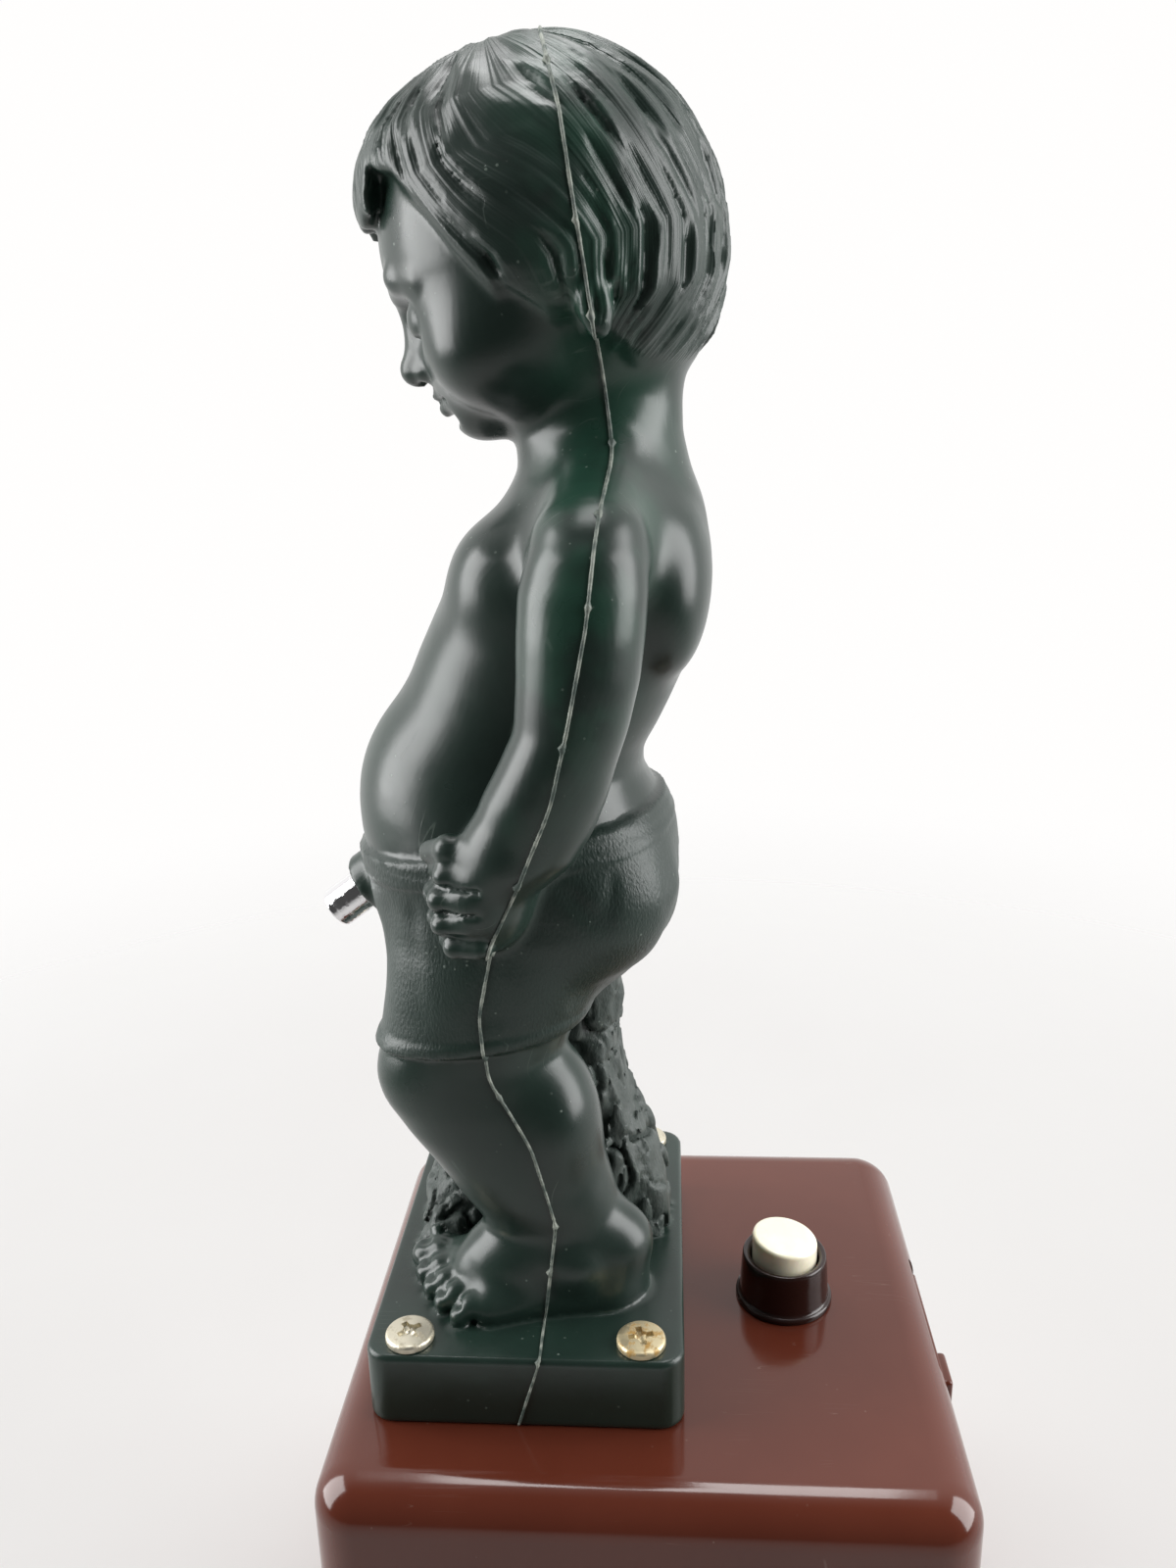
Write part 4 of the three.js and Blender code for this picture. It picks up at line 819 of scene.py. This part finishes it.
def paint(mesh, field):
    """Stores, at each point, how much of it is hair, rock or cloth, and how near it is to the parting line."""
    n = len(mesh.vertices)
    co = np.empty(n * 3, np.float32)
    mesh.vertices.foreach_get("co", co)
    x, y, z = (co.reshape(-1, 3) / MM).T
    z = z - PLINTH_Z
    hx, f, u = head_frame(x, y, z)
    skull = np.sqrt((hx / SKULL[0]) ** 2 + (f / SKULL[1]) ** 2 + (u / SKULL[2]) ** 2)
    hair = ramp(u - hair_line(f), -0.5, 1.0) * ramp(z, 140, 146) * ramp(skull, 0.97, 1.0)
    strand = comb(x, y, z)[0] * 0.023
    near = np.exp(-((np.abs(y - seam_at(z)) / 9) ** 2)) * ramp(z, 60, 130)
    near = np.maximum(near, np.exp(-((z - 134) / 13) ** 2) * np.exp(-((y + 4) / 11) ** 2))
    stump = column(ROCK, 1, 2.4, 4)[0]
    rock = (np.abs(x + 6) < 15) & (z < 58) & (z > 0.3)
    d1 = np.array([0.0])
    rx = np.interp(z, [r[0] for r in ROCK], [r[3] for r in ROCK])
    fr = np.interp(z, [r[0] for r in ROCK], [r[1] for r in ROCK])
    bk = np.interp(z, [r[0] for r in ROCK], [r[2] for r in ROCK])
    q1 = np.hypot((x + 6) / (rx + 3), (y - (fr + bk) / 2) / ((bk - fr) / 2 + 3))
    q2 = np.sqrt(((x + 8) / 18.5) ** 2 + ((y + 34.5) / 10.5) ** 2 + (z / 14.5) ** 2)
    stone = np.where(rock & ((q1 < 1) | (q2 < 1)), 1.0, 0.0)
    leg_f = np.interp(z, [r[0] for r in LEG], [r[1] for r in LEG])
    leg_b = np.interp(z, [r[0] for r in LEG], [r[2] for r in LEG])
    leg_h = np.interp(z, [r[0] for r in LEG], [r[3] for r in LEG])
    leg_m = np.interp(z, [r[0] for r in LEG], [r[4] for r in LEG])
    q3 = np.hypot((np.abs(x) - leg_m) / (leg_h + 0.7), (y - (leg_f + leg_b) / 2) / ((leg_b - leg_f) / 2 + 0.7))
    stone *= np.where((q3 < 1) & (z > 3), 0.0, 1.0)
    cloth = ramp(waist(y) - z, -0.3, 0.3) * ramp(z - hem(y), -0.3, 0.3)
    cloth = cloth * ramp(34 - np.abs(x), 8, 10.5) * np.where(y < -44.6, 0.0, 1.0)
    values = {"hair": hair, "strand": strand, "seam_near": near, "rock": stone, "cloth": cloth}
    for name, v in values.items():
        a = mesh.attributes.new(name, "FLOAT", "POINT")
        a.data.foreach_set("value", np.ascontiguousarray(v, dtype=np.float32))


def half(points, quads, front):
    """One half of the figure: everything in front of the parting surface, or behind it."""
    sheared = points.copy()
    sheared[:, 1] -= seam_at(points[:, 2])
    side = sheared[:, 1] if front else -sheared[:, 1]
    near = side[quads].min(1) < 1.0
    keep = quads[near]
    used = np.unique(keep)
    index = np.full(len(points), -1)
    index[used] = np.arange(len(used))
    mesh = mesh_from("half", sheared[used], index[keep])
    bm = bmesh.new()
    bm.from_mesh(mesh)
    bpy.data.meshes.remove(mesh)
    plane = -GAP if front else GAP
    cut = bmesh.ops.bisect_plane(
        bm, geom=bm.verts[:] + bm.edges[:] + bm.faces[:], dist=1e-4, plane_co=(0, plane, 0), plane_no=(0, 1, 0),
        clear_outer=front, clear_inner=not front,
    )
    rim = [e for e in bm.edges if e.is_boundary]
    loops = chains(rim)
    filled = bmesh.ops.triangle_fill(bm, edges=rim, use_beauty=False, use_dissolve=False)
    bmesh.ops.recalc_face_normals(bm, faces=bm.faces[:])
    for v in bm.verts:
        v.co.y += float(seam_at(v.co.z))
        v.co.z += PLINTH_Z
        v.co *= MM
    for e in bm.edges:
        e.smooth = not (e.is_boundary or e.calc_face_angle(0) > 0.9)
    mesh = bpy.data.meshes.new("figure_front" if front else "figure_rear")
    bm.to_mesh(mesh)
    bm.free()
    return mesh, loops


def chains(edges):
    """Closed runs of points along the edges."""
    beside = {}
    for e in edges:
        a, b = e.verts
        beside.setdefault(a, []).append(b)
        beside.setdefault(b, []).append(a)
    runs, seen = [], set()
    for start in beside:
        if start in seen:
            continue
        run, at, before = [], start, None
        while at is not None and at not in seen:
            seen.add(at)
            run.append(tuple(at.co))
            ahead = [v for v in beside[at] if v is not before and v not in seen]
            before, at = at, (ahead[0] if ahead else None)
        runs.append(np.array(run))
    return runs


def resample(run, step):
    closed = np.vstack([run, run[:1]])
    at = np.concatenate([[0], np.cumsum(np.linalg.norm(np.diff(closed, axis=0), axis=1))])
    s = np.arange(0, at[-1], step)
    return np.stack([np.interp(s, at, closed[:, i]) for i in range(3)], 1), at[-1]


def make_flash(loops):
    """The thin ragged line where the mould's two halves met."""
    rng = np.random.RandomState(5)
    points, faces = [], []
    for run in loops:
        path, length = resample(run, 0.4)
        if length < 25:
            continue
        path[:, 1] += seam_at(path[:, 2]) + GAP
        n = len(path)
        width = 0.2 + 0.09 * np.convolve(rng.rand(n + 12), np.ones(13) / 13, "valid") * 2
        width += 0.05 * rng.rand(n)
        width *= np.where(path[:, 2] < 3, 0.8, 1.0)
        path[:, 1] += 0.18 * (np.convolve(rng.rand(n + 24), np.ones(25) / 25, "valid") - 0.5) * 2
        at = rng.randint(10, 40)
        while at < n - 4:
            width[at - 1:at + 2] += np.array([0.2, 0.42, 0.2]) * rng.uniform(0.5, 1.0)
            path[at, 1] += rng.uniform(-0.3, 0.3)
            at += rng.randint(18, 80)
        shown = path[:, 2] > -12.9
        tangent = np.roll(path, -1, 0) - np.roll(path, 1, 0)
        tangent /= np.linalg.norm(tangent, axis=1)[:, None] + 1e-9
        across = np.tile([0.0, 1.0, 0.0], (n, 1))
        across -= tangent * (across * tangent).sum(1)[:, None]
        across /= np.linalg.norm(across, axis=1)[:, None] + 1e-9
        out = np.cross(tangent, across)
        first = len(points)
        sides = 6
        for i in range(n):
            for j in range(sides):
                a = math.tau * j / sides
                p = path[i] + (across[i] * math.cos(a) * 0.85 + out[i] * math.sin(a) * 1.1) * width[i]
                points.append((p + (0, 0, PLINTH_Z)) * MM)
        for i in range(n):
            i2 = (i + 1) % n
            if not (shown[i] and shown[i2]):
                continue
            for j in range(sides):
                k = (j + 1) % sides
                faces.append((first + i * sides + j, first + i * sides + k, first + i2 * sides + k, first + i2 * sides + j))
    mesh = mesh_from("seam_flash", points, faces)
    bm = bmesh.new()
    bm.from_mesh(mesh)
    bmesh.ops.delete(bm, geom=[v for v in bm.verts if not v.link_faces], context="VERTS")
    bmesh.ops.holes_fill(bm, edges=[e for e in bm.edges if e.is_boundary], sides=8)
    bmesh.ops.recalc_face_normals(bm, faces=bm.faces[:])
    bm.to_mesh(mesh)
    bm.free()
    return mesh


def make_figure():
    g = build_field()
    points, quads = mesh_of(g)
    front_mesh, loops = half(points, quads, True)
    rear_mesh, _ = half(points, quads, False)
    for name, mesh, node in (("figure_front", front_mesh, "figure_front_shell"), ("figure_rear", rear_mesh, "figure_rear_shell")):
        paint(mesh, g)
        obj = link(name, mesh, FIGURE)
        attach(obj, "base")
        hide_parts(node)
    flash = link("seam_flash", make_flash(loops), FLASH)
    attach(flash, "base")


make_figure()


# ---------------------------------------------------------------- turned and moulded pieces

def turned(name, profile, material, segments=64):
    """A closed profile of (radius, height) in mm around Z; a radius of 0 closes it."""
    bm = bmesh.new()
    rings = []
    for r, h in profile:
        if r < 1e-6:
            rings.append([bm.verts.new((0, 0, h * MM))])
        else:
            rings.append([
                bm.verts.new((r * MM * math.cos(math.tau * j / segments), r * MM * math.sin(math.tau * j / segments), h * MM))
                for j in range(segments)
            ])
    pairs = list(zip(rings, rings[1:] + rings[:1]))
    for a, b in pairs:
        for j in range(segments):
            k = (j + 1) % segments
            if len(a) == 1 and len(b) == 1:
                break
            if len(a) == 1:
                bm.faces.new((a[0], b[k], b[j]))
            elif len(b) == 1:
                bm.faces.new((a[j], a[k], b[0]))
            else:
                bm.faces.new((a[j], a[k], b[k], b[j]))
    bmesh.ops.recalc_face_normals(bm, faces=bm.faces[:])
    mesh = bpy.data.meshes.new(name)
    bm.to_mesh(mesh)
    bm.free()
    obj = link(name, mesh, material)
    return obj


def rounded(points, radius, steps=5):
    """The profile with its corners rounded: points are (r, h) or (r, h, own radius)."""
    out = []
    n = len(points)
    for i, p in enumerate(points):
        own = p[2] if len(p) > 2 else radius
        c = Vector(p[:2])
        a, b = Vector(points[i - 1][:2]), Vector(points[(i + 1) % n][:2])
        if own <= 0 or c.x < 1e-6:
            out.append(tuple(c))
            continue
        da, db = (a - c), (b - c)
        cut_a, cut_b = min(own, da.length * 0.45), min(own, db.length * 0.45)
        pa, pb = c + da.normalized() * cut_a, c + db.normalized() * cut_b
        for s in range(steps + 1):
            t = s / steps
            q = pa * (1 - t) ** 2 + c * 2 * t * (1 - t) + pb * t ** 2
            out.append((q.x, q.y))
    return out


def settle(obj, location=(0, 0, 0), matrix=None):
    """Moves the mesh itself, in mm, so that the object stays at the origin."""
    m = matrix if matrix is not None else Matrix.Identity(4)
    obj.data.transform(Matrix.Translation(Vector(location) * MM) @ m)
    return obj


def boolean(obj, cutter, operation="DIFFERENCE"):
    mod = obj.modifiers.new("cut", "BOOLEAN")
    mod.operation, mod.object, mod.solver = operation, cutter, "EXACT"
    bpy.context.view_layer.update()
    depsgraph = bpy.context.evaluated_depsgraph_get()
    mesh = bpy.data.meshes.new_from_object(obj.evaluated_get(depsgraph))
    obj.modifiers.clear()
    old = obj.data
    obj.data = mesh
    bpy.data.meshes.remove(old)
    bpy.data.objects.remove(cutter)
    return obj


def box(name, low, high, bevel=0.0, segments=3, material=None):
    bm = bmesh.new()
    bmesh.ops.create_cube(bm, size=1)
    lo, hi = Vector(low) * MM, Vector(high) * MM
    for v in bm.verts:
        v.co = Vector(((hi[i] - lo[i]) * (v.co[i] + 0.5) + lo[i]) for i in range(3))
    if bevel:
        bmesh.ops.bevel(bm, geom=bm.edges[:], offset=bevel * MM, segments=segments, profile=0.5, affect="EDGES")
    mesh = bpy.data.meshes.new(name)
    bm.to_mesh(mesh)
    bm.free()
    return link(name, mesh, material)


def sharpen(obj, angle=35):
    """Smooth shading with creases kept at edges sharper than angle."""
    bm = bmesh.new()
    bm.from_mesh(obj.data)
    for f in bm.faces:
        f.smooth = True
    for e in bm.edges:
        e.smooth = e.calc_face_angle(0) < math.radians(angle)
    bm.to_mesh(obj.data)
    bm.free()


def outline(half_x, half_y, corner, z, steps=14):
    points = []
    for quarter in range(4):
        sx = 1 if quarter in (0, 3) else -1
        sy = 1 if quarter < 2 else -1
        for s in range(steps + 1):
            a = (quarter + s / steps) * math.pi / 2
            points.append(Vector((
                sx * (half_x - corner) + corner * math.cos(a), sy * (half_y - corner) + corner * math.sin(a), z,
            )) * MM)
    return points


def soft_block(name, half_x, half_y, corner, z0, z1, edge, material=None, low_edge=0.0, steps=14):
    rings = []
    if low_edge:
        for s in range(4):
            a = s / 4 * math.pi / 2
            i = low_edge * (1 - math.sin(a))
            rings.append(outline(half_x - i, half_y - i, max(corner - i, 0.3), z0 + low_edge * (1 - math.cos(a)), steps))
    rings.append(outline(half_x, half_y, corner, z0 + low_edge, steps))
    for h in (0.33, 0.66):
        rings.append(outline(half_x, half_y, corner, z0 + (z1 - edge - z0) * h, steps))
    for s in range(13):
        a = s / 12 * math.pi / 2
        i = edge * (1 - math.cos(a))
        rings.append(outline(half_x - i, half_y - i, max(corner - i, 0.3), z1 - edge + edge * math.sin(a), steps))
    points, faces = loft(rings)
    return link(name, mesh_from(name, points, faces), material)


def make_box():
    shell = soft_block("box_shell", 49, 52.5, 8, 2.5, 72, 7, BROWN, 0.8)
    boolean(shell, soft_block("inner", 46.5, 50, 5.5, 1.5, 69.5, 4.5))
    boolean(shell, box("opening", (-36, 49, 8.4), (36, 54, 62.0), 0.0))
    boolean(shell, box("notch", (-15, 48.6, 61), (15, 56, 69), 1.0))
    for r, x, y in ((8.2, 0, 25.4), (4, 14.4, -13.4)):
        boolean(shell, settle(turned("hole", [(0, 66), (r, 66), (r, 74), (0, 74)], None), (x, y, 0)))
    sharpen(shell)
    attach(shell, "base")
    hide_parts("base_casing")
    posts = []
    for i, (sx, sy) in enumerate(((-1, -1), (-1, 1), (1, -1), (1, 1))):
        post = turned(f"screw_post_{i}", [(1.7, 5.1), (3.5, 5.1), (3.5, 69.6), (1.7, 69.6)], BROWN, 32)
        settle(post, (sx * 42, sy * 46, 0))
        boss = turned(f"plinth_boss_{i}", [(2.2, 63), (4.5, 63), (4.5, 69.6), (2.2, 69.6)], BROWN, 32)
        settle(boss, (sx * 29, sy * 19 + PLINTH_Y, 0))
        posts += [post, boss]
    for side in (-1, 1):
        lug = box(f"hinge_lug_{'left' if side > 0 else 'right'}", (36.2 if side > 0 else -41, 48, 7.6), (41 if side > 0 else -36.2, 50.6, 12.4), 0.3, 2, BROWN)
        posts.append(lug)
    for piece in posts:
        sharpen(piece)
        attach(piece, "base")


def make_door():
    door = box("door_panel", (-35.6, 50.0, 8.75), (35.6, 52.5, 61.7), 0.5, 3, BROWN)
    boolean(door, box("tongue", (-13.5, 50.0, 60), (13.5, 52.5, 66.4), 0.5), "UNION")
    tab = box("tab", (7, 51.6, 60.6), (14.6, 53.9, 65.9), 0.7, 4)
    boolean(door, tab, "UNION")
    for x0, x1 in ((-4.6, -2.6), (31, 33)):
        boolean(door, box("rib", (x0, 47, 16), (x1, 50.5, 56), 0.3, 2), "UNION")
    for i in range(3):
        boolean(door, box("grip", (8.4, 53.6, 61.6 + i * 1.4), (13.2, 54.4, 62.1 + i * 1.4), 0.0))
    sharpen(door)
    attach(door, "door")
    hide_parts("rear_door")


def make_button():
    y = 25.4
    ring = turned("button_ring", rounded([
        (6.3, 66.5), (8.0, 66.5), (8.0, 72.1, 0), (8.8, 72.1, 0.1), (8.8, 73.0, 0.4), (8.1, 73.3, 0.5),
        (7.85, 78.6, 0.8), (7.6, 81.2, 0.7), (6.9, 81.2, 0.4), (6.3, 80.7, 0.3),
    ], 0.2), DARK, 96)
    settle(ring, (0, y, 0))
    sharpen(ring, 50)
    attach(ring, "base")
    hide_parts("button_collar")

    segments = 96
    rise = math.tan(math.radians(7))
    profile = rounded([(0, 63.4), (2, 63.4), (2, 71.5, 0.3), (5.9, 71.5, 0.4), (5.9, 84.6, 0.9), (0, 84.6)], 0.3, 8)
    cap = turned("button_cap", profile, IVORY, segments)
    for v in cap.data.vertices:
        if v.co.z > 76 * MM:
            w = min((v.co.z / MM - 76) / 6, 1)
            r = math.hypot(v.co.x, v.co.y) / MM
            v.co.z += w * (-v.co.y * rise - 0.25 * MM * (1 - (r / 5.9) ** 2))
    settle(cap, (0, y, 0))
    sharpen(cap, 50)
    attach(cap, "button")
    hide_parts("push_button")


def make_spout():
    spout = turned("spout_pipe", rounded([(1.9, -13), (3.5, -13), (3.5, 7.4, 0.45), (1.9, 7.4, 0.35)], 0.2), CHROME, 72)
    settle(spout, (0, -46.8, 153.6), Matrix.Rotation(math.radians(126), 4, "X"))
    sharpen(spout, 50)
    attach(spout, "base")
    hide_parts("spout_tube")


def make_screws():
    names = ("right_front", "right_rear", "left_front", "left_rear")
    turns = (12, 64, 38, 15)
    for i, (sx, sy) in enumerate(((-1, -1), (-1, 1), (1, -1), (1, 1))):
        old = names[i] in ("left_rear",)
        profile = rounded([
            (0, -20), (0.9, -19, 0), (1.75, -16.4, 0), (1.75, 0.1, 0.1), (4, 0.1, 0.15), (4, 1.35, 0.7), (0, 1.75),
        ], 0.2, 6)
        screw = turned(f"screw_{names[i]}", profile, NICKEL_OLD if old else NICKEL, 64)
        m = Matrix.Rotation(math.radians(turns[i]), 4, "Z")
        for a in (0, 90):
            slot = box("slot", (-2.1, -0.55, 0.7), (2.1, 0.55, 3), 0.12, 2)
            slot.data.transform(Matrix.Rotation(math.radians(a), 4, "Z"))
            boolean(screw, slot)
        pit = turned("pit", [(0, -0.2), (1.15, 1.0), (1.15, 3), (0, 3)], None, 24)
        boolean(screw, pit)
        settle(screw, (sx * 29, sy * 19 + PLINTH_Y, PLINTH_Z), m)
        sharpen(screw, 40)
        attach(screw, "base")
        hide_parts(f"plinth_screw_{names[i]}")


make_box()
make_door()
make_button()
make_spout()
make_screws()


# ---------------------------------------------------------------- looks of the pieces that stay as they are

LOOKS = {
    "bottom_plate": DARK, "button_spring": STEEL, "switch_bracket": BLACK, "switch_leaf_fixed": BRASS,
    "switch_leaf_moving": BRASS, "spring_seat": STEEL, "door_hinge_pin": STEEL, "door_contact_strip": BRASS,
    "battery_cradle": BLACK, "battery_lower": CELL, "battery_upper": CELL, "contact_plate": STEEL,
    "contact_spring": STEEL, "liquid_tank": MILKY, "tank_cap": WHITE, "cap_seal": RUBBER, "pump_body": WHITE,
    "pump_cover": WHITE, "pump_impeller": WHITE, "motor_shaft": STEEL, "motor_can": STEEL, "motor_end_cap": WHITE,
    "motor_clamp": BLACK, "suction_hose": MILKY, "delivery_hose": MILKY, "wire_battery_to_motor": RED,
    "wire_motor_to_switch": BLUE, "wire_switch_to_battery": RED,
}
for name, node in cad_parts.items():
    look = LOOKS.get(name)
    if name.startswith("rubber_foot"):
        look = RUBBER
    if name.startswith("bottom_screw"):
        look = STEEL
    if look:
        for s in node.material_slots:
            s.material = look


# ---------------------------------------------------------------- the studio

def make_world():
    """White behind and above the object, and dim on the side where the viewer of the main picture stands."""
    world = bpy.data.worlds.new("studio")
    world.use_nodes = True
    t = world.node_tree
    back = t.nodes["Background"]
    back.inputs["Color"].default_value = (1.0, 0.992, 0.985, 1)
    coords = t.nodes.new("ShaderNodeTexCoord")
    split = t.nodes.new("ShaderNodeSeparateXYZ")
    t.links.new(coords.outputs["Generated"], split.inputs["Vector"])
    dim = t.nodes.new("ShaderNodeMapRange")
    dim.interpolation_type = "SMOOTHSTEP"
    for key, v in (("From Min", -0.45), ("From Max", 0.45), ("To Min", 1.1), ("To Max", 0.07)):
        dim.inputs[key].default_value = v
    t.links.new(split.outputs["X"], dim.inputs["Value"])
    path = t.nodes.new("ShaderNodeLightPath")
    seen = t.nodes.new("ShaderNodeMix")
    t.links.new(path.outputs["Is Camera Ray"], seen.inputs[0])
    t.links.new(dim.outputs["Result"], seen.inputs[2])
    seen.inputs[3].default_value = 1.0
    t.links.new(seen.outputs[0], back.inputs["Strength"])
    bpy.context.scene.world = world


def area_light(name, where, aim, size, power, spared=None):
    """A soft box; spared is an object that it doesn't light."""
    data = bpy.data.lights.new(name, "AREA")
    data.shape, data.size, data.size_y, data.energy = "RECTANGLE", size[0], size[1], power
    obj = bpy.data.objects.new(name, data)
    obj.location = where
    obj.rotation_euler = (Vector(aim) - Vector(where)).to_track_quat("-Z", "Y").to_euler()
    bpy.context.scene.collection.objects.link(obj)
    if spared:
        group = bpy.data.collections.new(f"{name}_spares")
        group.objects.link(spared)
        obj.light_linking.receiver_collection = group
        group.collection_objects[0].light_linking.link_state = "EXCLUDE"


def make_studio():
    bm = bmesh.new()
    bmesh.ops.create_grid(bm, x_segments=8, y_segments=8, size=3.0)
    mesh = bpy.data.meshes.new("floor")
    bm.to_mesh(mesh)
    bm.free()
    floor = link("floor", mesh, floor_material())
    make_world()
    area_light("overhead", (-0.2, 0.0, 1.1), (0, 0, 0.15), (0.45, 0.45), 5.5)
    area_light("front_window", (0.10, -0.85, 0.46), (0, 0, 0.18), (0.62, 0.95), 14, floor)
    area_light("rear_window", (0.10, 0.85, 0.46), (0, 0, 0.18), (0.62, 0.95), 13, floor)
    view = bpy.context.scene.view_settings
    view.view_transform, view.look = "Standard", "None"
    view.exposure, view.gamma = 0.0, 1.0


make_studio()
